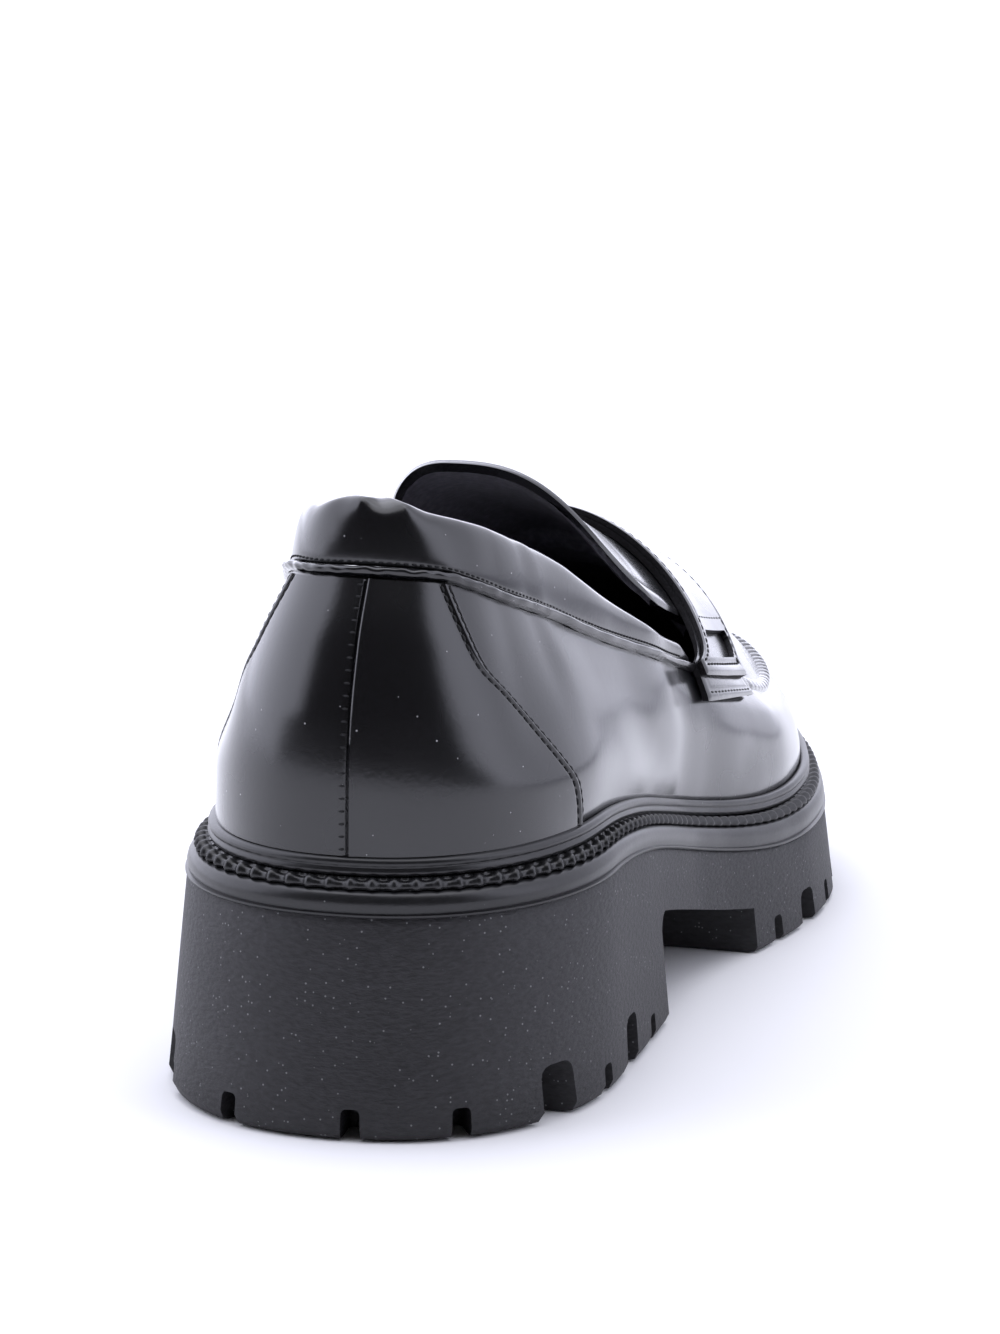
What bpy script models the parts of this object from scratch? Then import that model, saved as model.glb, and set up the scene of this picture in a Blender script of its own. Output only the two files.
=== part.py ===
"""Chunky lug sole loafer, right shoe, size EU 38, as an assembly of the pieces that a maker puts together.

Metres, +Z up, the toe points along +Y and +X is the shoe's outer (lateral) side.
The origin lies on the floor, under the middle of the heel.
"""

import math

import bmesh
import bpy
from mathutils import Vector

# Driving sizes of the last
FEATHER_LENGTH = 0.262      # heel to toe along the line where upper and sole meet
FEATHER_BACK = 0.033        # how far that line reaches behind the origin
HEEL_HALF_WIDTH = 0.0351
BALL_HALF_WIDTH = 0.0468    # from the heel's axis to the outer ball
BACK_HEIGHT = 0.0526        # quarter above the feather line at the heel's back
INNER_RISE = 0.0020         # how much higher its inner side is, beside the heel
INSTEP_HEIGHT = 0.0672      # crown above the feather line at the top of the tongue
HEEL_ROUND = 0.050          # length of the heel's round end
TOE_ROUND = 0.097           # length of the toe's round end
HEEL_ROUND_POWER = 2.19
TOE_ROUND_POWER = 2.27
TOE_SHIFT = -0.0029         # the toe tip lies to the inner side
TOE_SPINE_REACH = 0.051     # the toe's sections fan out from this far behind the tip

# Driving sizes of the sole
HEEL_BODY_HEIGHT = 0.0398
FORE_BODY_HEIGHT = 0.0195
HEEL_BAND_HEIGHT = 0.0042
FORE_BAND_HEIGHT = 0.0050
WELT_THICKNESS = 0.0018
RAND_HEIGHT = 0.0030
TOE_SPRING = 0.0054
SPRING_START = 0.68         # share of the length
TREAD_SPRING_START = 0.74
PITCH_START = 0.166         # the sole steps down from heel height between these shares
PITCH_END = 0.646
BREAST_Y = 0.0493           # front face of the heel block
BREAST_RAKE = 0.003
FORE_BLOCK_Y = 0.1069       # rear face of the forefoot block
WAIST_THICKNESS = 0.0125    # sole body over the arch
ARCH_CORNER_RADIUS = 0.004

# How far each layer of the sole stands out from the feather line
BODY_TOP_OUT = 0.0055
BODY_FOOT_OUT = 0.0078
BODY_BACK_OUT = 0.0107
BAND_OUT = 0.0046
WELT_OUT = 0.0044
RAND_OUT = 0.0018
FOOT_EDGE_RADIUS = 0.0022

# Lugs
WIDE_GROOVE = 0.0092
WIDE_GROOVE_DEPTH = 0.0105
FORE_GROOVE_DEPTH = 0.0078
SIPE = 0.0044
SIPE_DEPTH = 0.0058
SIPE_REACH = 0.013          # from the sole's edge inward
LUG_PITCH = 0.0352          # from one wide groove to the next
HEEL_GROOVE_Y = -0.0190
FORE_GROOVE_Y = 0.1356
HEEL_GROOVES = 2
FORE_GROOVES = 3
END_NOTCH = 0.0040
END_NOTCH_REACH = 0.009

# Walls and overlays
WALL = 0.0018
GAP = 0.0003
INSOLE_THICKNESS = 0.0042
COUNTER_THICKNESS = 0.0009
BACK_SEAM_GAP = 0.0006
BEAD_HEIGHT = 0.0022
BEAD_THICKNESS = 0.0013
BACK_SEAM_SHIFT = 0.0014    # the back seam runs a little to the outer side
COLLAR_FOOT = 0.0018
COLLAR_PAD = 0.0042
COLLAR_HEIGHT = 0.0140
COLLAR_FLARE = 0.0032
APRON_SEAM_WIDTH = 0.0030
APRON_SEAM_HEIGHT = 0.0015
TONGUE_THICKNESS = 0.0020
TONGUE_LIFT = 0.0004
TONGUE_REAR_Y = 0.0550
TONGUE_GIRTH = 0.80
TONGUE_SWEEP = 0.042        # how far its rear corners lie ahead of its middle
TONGUE_TUCK = 0.010
TONGUE_LIP = 0.0012
STRAP_BASE_THICKNESS = 0.0014
STRAP_TOP_THICKNESS = 0.0012
STRAP_REAR_Y = 0.1195
STRAP_FRONT_Y = 0.148
STRAP_REAR_SWEEP = 0.0240
STRAP_FRONT_SWEEP = 0.0185
STRAP_BASE_END = 1.25       # girth at which each layer ends, 1 is the seam line
STRAP_TOP_END = 1.10
STRAP_SETBACK = 0.0009      # margin of the lower layer outside the upper one
WINDOW_INNER = 0.885        # girth shares of the cut-out on each side
WINDOW_OUTER = 1.01
WINDOW_MARGIN = 0.12        # share of the strap's width left beside it
STRAP_END_SLANT = 0.064     # how much its ends rise toward the front
THROAT_SHARE = 0.617

# Mesh fineness
HEEL_STEPS = 9
WAIST_STEPS = 13
TOE_STEPS = 12
WALL_ROWS = 7
CROWN_ROWS = 6
TOOTH_PITCH = 0.0043
TOOTH_DEPTH = 0.0007

# Feather line: share of the length, half widths as shares of the heel's and the ball's
OUTLINE = [
    # share, outer of ball, inner of ball
    (0.00, 0.750, 0.750),
    (0.12, 0.750, 0.750),
    (0.25, 0.742, 0.716),
    (0.34, 0.729, 0.655),
    (0.42, 0.733, 0.622),
    (0.48, 0.779, 0.637),
    (0.55, 0.872, 0.700),
    (0.61, 0.943, 0.765),
    (0.674, 0.990, 0.812),
    (0.74, 1.000, 0.826),
    (0.80, 0.987, 0.823),
    (1.00, 0.932, 0.769),
]

# Sections of the upper. seam: height of the bead and apron seam, as a share of BACK_HEIGHT.
# low, middle, high, top: half width at 1/4, 1/2, 3/4 and all of that height, as shares of the
# feather line's. fill widens the inner side at the top. crown: height of the ridge as a share of
# INSTEP_HEIGHT, and power says how square the crown is.
SECTIONS = [
    # share, seam, low, middle, high, top, fill, crown, power
    (0.00, 1.010, 0.995, 0.965, 0.885, 0.735, 1.00, 1.00, 2.8),
    (0.025, 0.983, 0.990, 0.945, 0.850, 0.700, 1.00, 1.00, 2.8),
    (0.05, 0.943, 0.990, 0.930, 0.825, 0.670, 1.00, 1.00, 2.8),
    (0.094, 0.880, 0.995, 0.900, 0.780, 0.640, 1.00, 1.00, 2.8),
    (0.145, 0.826, 1.015, 0.920, 0.785, 0.645, 1.00, 1.00, 2.8),
    (0.19, 0.781, 1.030, 0.950, 0.830, 0.680, 1.00, 1.00, 2.8),
    (0.25, 0.706, 1.040, 0.990, 0.890, 0.765, 1.00, 1.00, 2.8),
    (0.304, 0.664, 1.050, 1.020, 0.945, 0.845, 1.03, 1.00, 2.9),
    (0.41, 0.627, 1.060, 1.080, 1.040, 0.955, 1.08, 0.992, 2.6),
    (0.49, 0.603, 1.040, 1.055, 1.020, 0.935, 1.08, 0.972, 2.15),
    (0.55, 0.570, 1.020, 1.025, 0.975, 0.880, 1.06, 0.948, 2.0),
    (0.60, 0.527, 1.010, 1.000, 0.950, 0.845, 1.03, 0.904, 2.1),
    (0.675, 0.445, 1.005, 0.990, 0.935, 0.825, 1.00, 0.800, 2.35),
    (0.74, 0.375, 1.005, 0.985, 0.930, 0.815, 1.00, 0.700, 2.4),
    (0.80, 0.340, 1.005, 0.985, 0.930, 0.810, 1.00, 0.612, 2.3),
    (0.90, 0.325, 1.005, 0.990, 0.945, 0.835, 1.00, 0.455, 2.2),
    (0.967, 0.330, 1.000, 0.990, 0.945, 0.850, 1.00, 0.285, 2.2),
    (1.00, 0.330, 1.000, 0.990, 0.945, 0.850, 1.00, 0.240, 2.2),
]

# Sideways shift of the instep's ridge to the inner side, as a share of BALL_HALF_WIDTH
RIDGE_SHIFT = [
    # share, shift
    (0.30, -0.115),
    (0.58, -0.095),
    (0.70, -0.070),
    (0.80, -0.035),
    (1.00, -0.030),
]

# Collar band along the feather line's share: height and outward flare, as shares of theirs
COLLAR = [
    # share, height, flare
    (0.00, 0.90, -0.35),
    (0.025, 0.76, -0.42),
    (0.05, 0.80, -0.50),
    (0.094, 0.86, -0.55),
    (0.18, 0.85, -0.58),
    (0.237, 0.82, -0.52),
    (0.27, 0.72, -0.40),
    (0.304, 0.60, -0.30),
    (0.335, 0.50, -0.20),
    (0.365, 0.42, -0.10),
    (0.39, 0.36, 0.00),
    (0.42, 0.31, 0.00),
    (0.53, 0.25, 0.00),
]
COLLAR_END_GAP = 0.0010     # between the collar's ends and the strap's rear corners

# Front edge of the counters: height as a share of the seam's, and the share of the length
COUNTER_EDGE = [
    # height, share
    (0.00, 0.146),
    (0.15, 0.143),
    (0.25, 0.138),
    (0.36, 0.122),
    (0.48, 0.101),
    (0.60, 0.074),
    (0.70, 0.0515),
    (0.82, 0.0395),
    (1.00, 0.026),
]

# Notches in the sole's round ends: sideways place, as a share of the half width there
HEEL_NOTCHES = [-0.57, -0.25, 0.07, 0.33]
TOE_NOTCHES = [-0.45, 0.0, 0.45]


def smooth(points):
    """A monotone cubic through (x, y) points, as a function."""
    xs = [p[0] for p in points]
    ys = [p[1] for p in points]
    steps = [xs[i + 1] - xs[i] for i in range(len(xs) - 1)]
    slopes = [(ys[i + 1] - ys[i]) / steps[i] for i in range(len(steps))]
    tangents = [slopes[0]]
    for i in range(1, len(slopes)):
        if slopes[i - 1] * slopes[i] <= 0:
            tangents.append(0.0)
        else:
            left = 2 * steps[i] + steps[i - 1]
            right = steps[i] + 2 * steps[i - 1]
            tangents.append((left + right) / (left / slopes[i - 1] + right / slopes[i]))
    tangents.append(slopes[-1])

    def value(x):
        x = min(max(x, xs[0]), xs[-1])
        i = 0
        while i < len(steps) - 1 and x > xs[i + 1]:
            i += 1
        t = (x - xs[i]) / steps[i]
        return (
            ys[i] * (1 + 2 * t) * (1 - t) ** 2
            + steps[i] * tangents[i] * t * (1 - t) ** 2
            + ys[i + 1] * t * t * (3 - 2 * t)
            + steps[i] * tangents[i + 1] * t * t * (t - 1)
        )

    return value


def column(table, index):
    """One column of a table as a smooth function of its first column."""
    return smooth([(row[0], row[index]) for row in table])


outer_half = column(OUTLINE, 1)
inner_half = column(OUTLINE, 2)
seam_height = column(SECTIONS, 1)
side_low = column(SECTIONS, 2)
side_middle = column(SECTIONS, 3)
side_high = column(SECTIONS, 4)
side_top = column(SECTIONS, 5)
inner_fill = column(SECTIONS, 6)
crown_height = column(SECTIONS, 7)
crown_power = column(SECTIONS, 8)
collar_height = column(COLLAR, 1)
collar_flare = column(COLLAR, 2)
counter_share = smooth(COUNTER_EDGE)
ridge_shift = column(RIDGE_SHIFT, 1)


def ease(value, start, end):
    """0 before start, 1 after end, and smooth between."""
    t = min(max((value - start) / (end - start), 0.0), 1.0)
    return t * t * (3 - 2 * t)


# Heights of the sole's layers

def share_of(y):
    return min(max((y + FEATHER_BACK) / FEATHER_LENGTH, 0.0), 1.0)


def spring(share, start):
    return TOE_SPRING * max((share - start) / (1 - start), 0.0) ** 2


def stepped(share, heel, fore):
    drop = ease(share, PITCH_START, PITCH_END)
    return heel * (1 - drop) + fore * drop


def body_top(y):
    share = share_of(y)
    return stepped(share, HEEL_BODY_HEIGHT, FORE_BODY_HEIGHT) + spring(share, SPRING_START)


def band_bottom(y):
    return body_top(y) + GAP


def band_top(y):
    return band_bottom(y) + stepped(share_of(y), HEEL_BAND_HEIGHT, FORE_BAND_HEIGHT)


def welt_bottom(y):
    return band_top(y) + GAP


def welt_top(y):
    return welt_bottom(y) + WELT_THICKNESS


def feather(y):
    """Height at which the upper stands on the welt."""
    return welt_top(y) + GAP


def tread(y):
    return spring(share_of(y), TREAD_SPRING_START)


# Plan outline

def station_y(run, back, toe):
    """y of a place along one side, run 0 at the heel's back and 1 at the toe tip."""
    rear = -FEATHER_BACK - back
    front = FEATHER_LENGTH - FEATHER_BACK + toe
    total = HEEL_STEPS + WAIST_STEPS + TOE_STEPS
    heel_end = HEEL_STEPS / total
    toe_start = 1 - TOE_STEPS / total
    if run < heel_end:
        return rear + HEEL_ROUND * (1 - math.cos(math.pi / 2 * run / heel_end))
    if run > toe_start:
        return front - TOE_ROUND * (1 - math.cos(math.pi / 2 * (1 - run) / (1 - toe_start)))
    t = (run - heel_end) / (toe_start - heel_end)
    return (rear + HEEL_ROUND) * (1 - t) + (front - TOE_ROUND) * t


def centre_x(y):
    """The last's centre line bends to the inner side towards the toe."""
    return TOE_SHIFT * max((share_of(y) - 0.5) / 0.5, 0.0) ** 2


def outline(place, side_out=0.0, back_out=None, toe_out=None):
    """Point of the plan outline, grown outward. place runs from -1 to 1: 0 is the heel's back,
    1 and -1 the toe tip, above 0 the outer side and below 0 the inner one."""
    back_out = side_out if back_out is None else back_out
    toe_out = side_out if toe_out is None else toe_out
    run = min(abs(place), 1.0)
    y = station_y(run, back_out, toe_out)
    share = share_of(y)
    half = (outer_half(share) if place >= 0 else inner_half(share)) * BALL_HALF_WIDTH
    half += (HEEL_HALF_WIDTH - outer_half(0.0) * BALL_HALF_WIDTH) * (1 - ease(share, 0.2, 0.5))
    from_back = min((y + FEATHER_BACK + back_out) / HEEL_ROUND, 1.0)
    from_toe = min((FEATHER_LENGTH - FEATHER_BACK + toe_out - y) / TOE_ROUND, 1.0)
    heel_end = max(1 - (1 - from_back) ** HEEL_ROUND_POWER, 0.0) ** (1 / HEEL_ROUND_POWER)
    toe_end = max(1 - (1 - from_toe) ** TOE_ROUND_POWER, 0.0) ** (1 / TOE_ROUND_POWER)
    reach = (half + side_out) * heel_end * toe_end
    return Vector((centre_x(y) + math.copysign(reach, place), y, 0.0))


# The upper's own surface

HEEL_SPINE_Y = HEEL_ROUND - FEATHER_BACK
TOE_SPINE_Y = FEATHER_LENGTH - FEATHER_BACK - TOE_SPINE_REACH


def seam_above(place):
    """Height of the seam line above the feather line. The inner side's top line is a little higher."""
    share = share_of(outline(place).y)
    height = seam_height(share) * BACK_HEIGHT
    if place < 0:
        height += INNER_RISE * ease(share, 0.0, 0.06) * (1 - ease(share, 0.20, 0.45))
    return height


def wall_share(share, rise):
    """Half width at a part of the seam's height, as a share of the feather line's."""
    return smooth([
        (0.00, 1.0),
        (0.25, side_low(share)),
        (0.50, side_middle(share)),
        (0.75, side_high(share)),
        (1.00, side_top(share)),
    ])(rise)


def apex_x(y):
    """The instep's ridge lies to the inner side of the centre line."""
    return centre_x(y) + ridge_shift(share_of(y)) * BALL_HALF_WIDTH


def seam_point(place):
    """Plan place of the seam line, between wall and crown."""
    foot = outline(place)
    spine_y = min(max(foot.y, HEEL_SPINE_Y), TOE_SPINE_Y)
    spine = Vector((centre_x(spine_y), spine_y, 0.0))
    width = wall_share(share_of(foot.y), 1.0)
    if place < 0:
        width *= inner_fill(share_of(foot.y))
    return spine + (foot - spine) * width


def toe_line_x(y):
    """The ridge over the toe, straight from the fan's centre to the tip."""
    tip = seam_point(1.0)
    start = apex_x(TOE_SPINE_Y)
    return start + (tip.x - start) * (y - TOE_SPINE_Y) / (tip.y - TOE_SPINE_Y)


def toe_seam_line(side):
    """The seam line over the toe as functions of y: half width from the ridge, and height."""
    widths = []
    heights = []
    for i in range(201):
        foot = outline(side * i / 200)
        if foot.y < TOE_SPINE_Y:
            continue
        point = seam_point(side * i / 200)
        widths.append((point.y, abs(point.x - toe_line_x(point.y))))
        heights.append((point.y, feather(foot.y) + seam_above(side * i / 200)))
    return smooth(widths), smooth(heights)


def ridge(y):
    return feather(y) + crown_height(share_of(y)) * INSTEP_HEIGHT


toe_outer = toe_seam_line(1)
toe_inner = toe_seam_line(-1)


def bare_skin(place, girth):
    """Point on the upper. girth runs from 0 at the ridge over 1 at the seam line to 2 at the feather."""
    if abs(place) > 1:
        place = math.copysign(2 - abs(place), -place)
    foot = outline(place)
    spine_y = min(max(foot.y, HEEL_SPINE_Y), TOE_SPINE_Y)
    spine = Vector((centre_x(spine_y), spine_y, 0.0))
    share = share_of(foot.y)
    rise = min(2 - girth, 1.0)
    width = wall_share(share, rise)
    if place < 0:
        width *= 1 + (inner_fill(share) - 1) * rise
    seam_z = feather(foot.y) + seam_above(place)
    if girth >= 1:
        point = spine + (foot - spine) * width
        point.z = feather(foot.y) + (seam_z - feather(foot.y)) * rise
        return point
    seam = spine + (foot - spine) * width
    apex = Vector((apex_x(spine_y), spine_y, 0.0))
    point = apex + (seam - apex) * girth
    across = girth
    if foot.y > TOE_SPINE_Y and girth < 1:
        half, height = toe_outer if place > 0 else toe_inner
        seam_z = height(point.y)
        across = abs(point.x - toe_line_x(point.y)) / max(half(point.y), 1e-6)
    fall = across ** crown_power(share_of(point.y))
    point.z = max(ridge(point.y), seam_z) * (1 - fall) + seam_z * fall
    return point


PLACE_STEP = 0.004
GIRTH_STEP = 0.02
POLE_GIRTH = 0.06


def skin_normal(place, girth):
    at = min(max(girth, POLE_GIRTH), 2 - GIRTH_STEP)
    if girth >= 1:
        at = max(at, 1 + GIRTH_STEP)
    along = bare_skin(place + PLACE_STEP, at) - bare_skin(place - PLACE_STEP, at)
    up = bare_skin(place, at - GIRTH_STEP) - bare_skin(place, at + GIRTH_STEP)
    normal = along.cross(up)
    if place < 0:
        normal = -normal
    outward = bare_skin(place, at) - Vector((0.0, bare_skin(place, at).y, feather(0.0)))
    if girth < POLE_GIRTH:
        mirrored = normal.copy()
        mirrored.x = -mirrored.x
        normal = normal + mirrored
    if normal.dot(Vector((0, 0, 1))) < 0 and girth < 1:
        normal = -normal
    if girth >= 1:
        foot = outline(place)
        spine_y = min(max(foot.y, HEEL_SPINE_Y), TOE_SPINE_Y)
        outward = foot - Vector((centre_x(spine_y), spine_y, 0.0))
        if normal.dot(outward) < 0:
            normal = -normal
    return normal.normalized()


def skin(place, girth, lift=0.0):
    """Point at a height above the upper's surface, below it where lift is negative."""
    point = bare_skin(place, girth)
    if lift:
        point = point + skin_normal(place, girth) * lift
    return point


def place_at_share(share):
    """The place along one side whose foot lies at a share of the length."""
    low, high = 0.0, 1.0
    for _ in range(40):
        middle = (low + high) / 2
        if share_of(station_y(middle, 0.0, 0.0)) < share:
            low = middle
        else:
            high = middle
    return (low + high) / 2


def girth_at_height(place, height):
    """The girth on the wall at a height above the feather line."""
    return 2 - height / seam_above(place)


# Mesh tools

def new_object(name, mesh, material):
    mesh.materials.append(material)
    mesh.shade_smooth()
    mesh.set_sharp_from_angle(angle=math.radians(40))
    thing = bpy.data.objects.new(name, mesh)
    bpy.context.scene.collection.objects.link(thing)
    return thing


def close_up(work):
    bmesh.ops.remove_doubles(work, verts=work.verts, dist=1e-6)
    bmesh.ops.dissolve_degenerate(work, edges=work.edges, dist=1e-7)
    bmesh.ops.recalc_face_normals(work, faces=work.faces)


def make(name, work, material):
    close_up(work)
    mesh = bpy.data.meshes.new(name)
    work.to_mesh(mesh)
    work.free()
    return new_object(name, mesh, material)


def plate(name, cells, outer, inner, material):
    """A solid between two surfaces over the same cells. A cell is four (place, girth) corners, and
    outer and inner turn a corner into a point. Edges that only one cell has become the rim."""
    work = bmesh.new()
    tops = {}
    bottoms = {}

    def vertices(corner):
        point = outer(corner)
        key = tuple(round(c, 6) for c in point)
        if key not in tops:
            tops[key] = work.verts.new(point)
            bottoms[key] = work.verts.new(inner(corner))
        return key

    edges = {}
    for cell in cells:
        keys = []
        for corner in cell:
            key = vertices(corner)
            if key not in keys:
                keys.append(key)
        if len(keys) < 3:
            continue
        work.faces.new([tops[k] for k in keys])
        work.faces.new([bottoms[k] for k in reversed(keys)])
        for a, b in zip(keys, keys[1:] + keys[:1]):
            edges.setdefault(frozenset((a, b)), []).append((a, b))
    for used in edges.values():
        if len(used) == 1:
            a, b = used[0]
            work.faces.new([tops[b], tops[a], bottoms[a], bottoms[b]])
    return make(name, work, material)


def swept(name, sections, material, closed):
    """A solid through a row of sections with as many points each, open with end caps or a ring."""
    work = bmesh.new()
    rings = [[work.verts.new(p) for p in section] for section in sections]
    pairs = list(zip(rings, rings[1:]))
    if closed:
        pairs.append((rings[-1], rings[0]))
    for one, other in pairs:
        for i in range(len(one)):
            j = (i + 1) % len(one)
            work.faces.new([one[i], one[j], other[j], other[i]])
    if not closed:
        work.faces.new(rings[0])
        work.faces.new(list(reversed(rings[-1])))
    return make(name, work, material)


def slab(name, loops, material):
    """A solid from loops that run once round the sole, heel back first, capped by a ladder of
    faces between its two sides."""
    work = bmesh.new()
    rings = [[work.verts.new(p) for p in loop] for loop in loops]
    count = len(rings[0])
    for one, other in zip(rings, rings[1:]):
        for i in range(count):
            j = (i + 1) % count
            work.faces.new([one[i], one[j], other[j], other[i]])
    half = count // 2
    for ring in (rings[0], rings[-1]):
        for i in range(half):
            a, b = ring[i], ring[i + 1]
            c, d = ring[(count - i - 1) % count], ring[(count - i) % count]
            corners = []
            for corner in (a, b, c, d):
                if corner not in corners:
                    corners.append(corner)
            if len(corners) > 2:
                work.faces.new(corners)
    return make(name, work, material)


STEPS = HEEL_STEPS + WAIST_STEPS + TOE_STEPS
RIM_PLACES = [i / STEPS for i in range(STEPS + 1)] + [-i / STEPS for i in range(STEPS - 1, 0, -1)]


def ring(side_out, height, back_out=None, toe_out=None):
    """A loop round the sole at a height that follows y."""
    points = []
    for place in RIM_PLACES:
        point = outline(place, side_out, back_out, toe_out)
        point.z = height(point.y)
        points.append(point)
    return points


# Materials

def surface(name, colour, roughness):
    material = bpy.data.materials.new(name)
    material.use_nodes = True
    shader = material.node_tree.nodes["Principled BSDF"]
    shader.inputs["Base Color"].default_value = (*colour, 1.0)
    shader.inputs["Roughness"].default_value = roughness
    shader.inputs["Metallic"].default_value = 0.0
    material.diffuse_color = (*colour, 1.0)
    return material


# Sole

def prism(work, profile, start, along, across, reach):
    """Adds a prism to a mesh: profile holds (sideways, up) points, extruded by reach along a way."""
    near = [start + across * p[0] + Vector((0, 0, p[1])) for p in profile]
    far = [p + along * reach for p in near]
    one = [work.verts.new(p) for p in near]
    other = [work.verts.new(p) for p in far]
    work.faces.new(one)
    work.faces.new(list(reversed(other)))
    for i in range(len(one)):
        j = (i + 1) % len(one)
        work.faces.new([one[j], one[i], other[i], other[j]])


UNDERCUT = 0.004            # how far the cutters reach below the floor
NOTCH_TAPER = 0.86          # a groove's top is this share of its width


def groove_profile(width, depth):
    """A groove seen end on: straight sides that close in, and a rounded top."""
    half = width / 2
    top = half * NOTCH_TAPER
    round_off = min(half * 0.5, depth * 0.3)
    return [
        (-half, -UNDERCUT),
        (half, -UNDERCUT),
        (top, depth - round_off),
        (top - round_off * 0.3, depth - round_off * 0.3),
        (top - round_off, depth),
        (round_off - top, depth),
        (round_off * 0.3 - top, depth - round_off * 0.3),
        (-top, depth - round_off),
    ]


def arch_profile():
    """The gap under the waist as (y, z) points, with a round corner at the breast."""
    def roof(y):
        return body_top(y) - WAIST_THICKNESS
    radius = ARCH_CORNER_RADIUS
    rear = BREAST_Y - BREAST_RAKE
    points = [(FORE_BLOCK_Y, -UNDERCUT), (BREAST_Y, -UNDERCUT), (BREAST_Y, 0.0)]
    centre = (rear + radius, roof(rear + radius) - radius)
    for i in range(4):
        angle = math.pi - math.pi / 2 * i / 3
        points.append((centre[0] + radius * math.cos(angle), centre[1] + radius * math.sin(angle)))
    steps = 5
    for i in range(1, steps + 1):
        y = centre[0] + (FORE_BLOCK_Y - centre[0]) * i / steps
        points.append((y, roof(y)))
    return points


def sole_cutter():
    """Everything cut out of the sole's underside, as one closed mesh."""
    work = bmesh.new()
    width = 4 * BALL_HALF_WIDTH
    side = Vector((1, 0, 0))
    forward = Vector((0, 1, 0))
    start = Vector((-width / 2, 0, 0))
    prism(work, [(y, z) for y, z in arch_profile()], start, side, forward, width)

    def across(y, groove, depth):
        prism(work, groove_profile(groove, depth), Vector((-width / 2, y, tread(y))), side, forward, width)

    def from_edges(y, groove, depth):
        for way in (1, -1):
            place = way * place_near(y)
            edge = outline(place, BODY_FOOT_OUT, BODY_BACK_OUT, BODY_FOOT_OUT).x
            inside = Vector((edge - way * SIPE_REACH, y, tread(y)))
            prism(work, groove_profile(groove, depth), inside, side * way, forward, width / 4)

    for i in range(HEEL_GROOVES):
        y = HEEL_GROOVE_Y + i * LUG_PITCH
        across(y, WIDE_GROOVE, WIDE_GROOVE_DEPTH)
        from_edges(y + LUG_PITCH / 2, SIPE, SIPE_DEPTH)
    for i in range(FORE_GROOVES):
        y = FORE_GROOVE_Y + i * LUG_PITCH
        across(y, WIDE_GROOVE, FORE_GROOVE_DEPTH)
        from_edges(y - LUG_PITCH / 2, SIPE, SIPE_DEPTH)

    def end_notch(share, back):
        """A short notch that points away from the middle of a round end."""
        rear = -FEATHER_BACK - BODY_BACK_OUT
        front = FEATHER_LENGTH - FEATHER_BACK + BODY_FOOT_OUT
        middle = Vector((0, rear + HEEL_ROUND, 0)) if back else Vector((TOE_SHIFT, front - TOE_SPINE_REACH, 0))
        bearing = math.radians(90) * share
        way = Vector((math.sin(bearing), -math.cos(bearing) if back else math.cos(bearing), 0))
        edge = edge_along(middle, way)
        inner = edge - way * END_NOTCH_REACH
        inner.z = tread(inner.y)
        prism(work, groove_profile(END_NOTCH, SIPE_DEPTH), inner, way, way.cross(Vector((0, 0, 1))), 0.03)

    for share in HEEL_NOTCHES:
        end_notch(share, True)
    for share in TOE_NOTCHES:
        end_notch(share, False)
    bmesh.ops.recalc_face_normals(work, faces=work.faces)
    mesh = bpy.data.meshes.new("sole_cutter")
    work.to_mesh(mesh)
    work.free()
    cutter = bpy.data.objects.new("sole_cutter", mesh)
    bpy.context.scene.collection.objects.link(cutter)
    cutter.hide_render = True
    cutter.display_type = "WIRE"
    return cutter


def place_near(y):
    """The outer place whose grown outline has this y."""
    low, high = 0.0, 1.0
    for _ in range(40):
        middle = (low + high) / 2
        if station_y(middle, BODY_BACK_OUT, BODY_FOOT_OUT) < y:
            low = middle
        else:
            high = middle
    return (low + high) / 2


def edge_along(start, way):
    """Where a line from inside the sole meets its lower outline."""
    best = None
    for i in range(-200, 201):
        point = outline(i / 200, BODY_FOOT_OUT, BODY_BACK_OUT, BODY_FOOT_OUT)
        apart = point - start
        along = apart.dot(way)
        off = (apart - way * along).length
        if along > 0 and (best is None or off < best[0]):
            best = (off, start + way * along)
    return best[1]


def outsole(rubber):
    """The lugged unit: tall heel block, waist and forefoot, with a foot edge that is rounded under."""
    def foot(y):
        return tread(y)
    def above_foot(y):
        return tread(y) + FOOT_EDGE_RADIUS
    def waist_line(y):
        return (above_foot(y) + body_top(y)) / 2
    under = BODY_FOOT_OUT - FOOT_EDGE_RADIUS
    middle = (BODY_FOOT_OUT + BODY_TOP_OUT) / 2
    loops = [
        ring(under, foot, BODY_BACK_OUT - FOOT_EDGE_RADIUS, under),
        ring(BODY_FOOT_OUT, above_foot, BODY_BACK_OUT, BODY_FOOT_OUT),
        ring(middle, waist_line, (BODY_BACK_OUT + BODY_TOP_OUT) / 2, middle),
        ring(BODY_TOP_OUT, body_top),
    ]
    sole = slab("outsole", loops, rubber)
    cutter = sole_cutter()
    cut = sole.modifiers.new("lugs", "BOOLEAN")
    cut.operation = "DIFFERENCE"
    cut.solver = "EXACT"
    cut.use_self = True
    cut.object = cutter
    return sole


def midsole_band(rubber):
    """The smooth band above the lugged unit: its side swells a little and its top edge is rounded."""
    def lower(y):
        return band_bottom(y) + (band_top(y) - band_bottom(y)) * 0.3
    def upper_edge(y):
        return band_top(y) - (band_top(y) - band_bottom(y)) * 0.15
    loops = [
        ring(BAND_OUT, band_bottom),
        ring(BAND_OUT + 0.0006, lower),
        ring(BAND_OUT + 0.0002, upper_edge),
        ring(BAND_OUT - 0.0006, band_top),
    ]
    return slab("midsole_band", loops, rubber)


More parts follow.
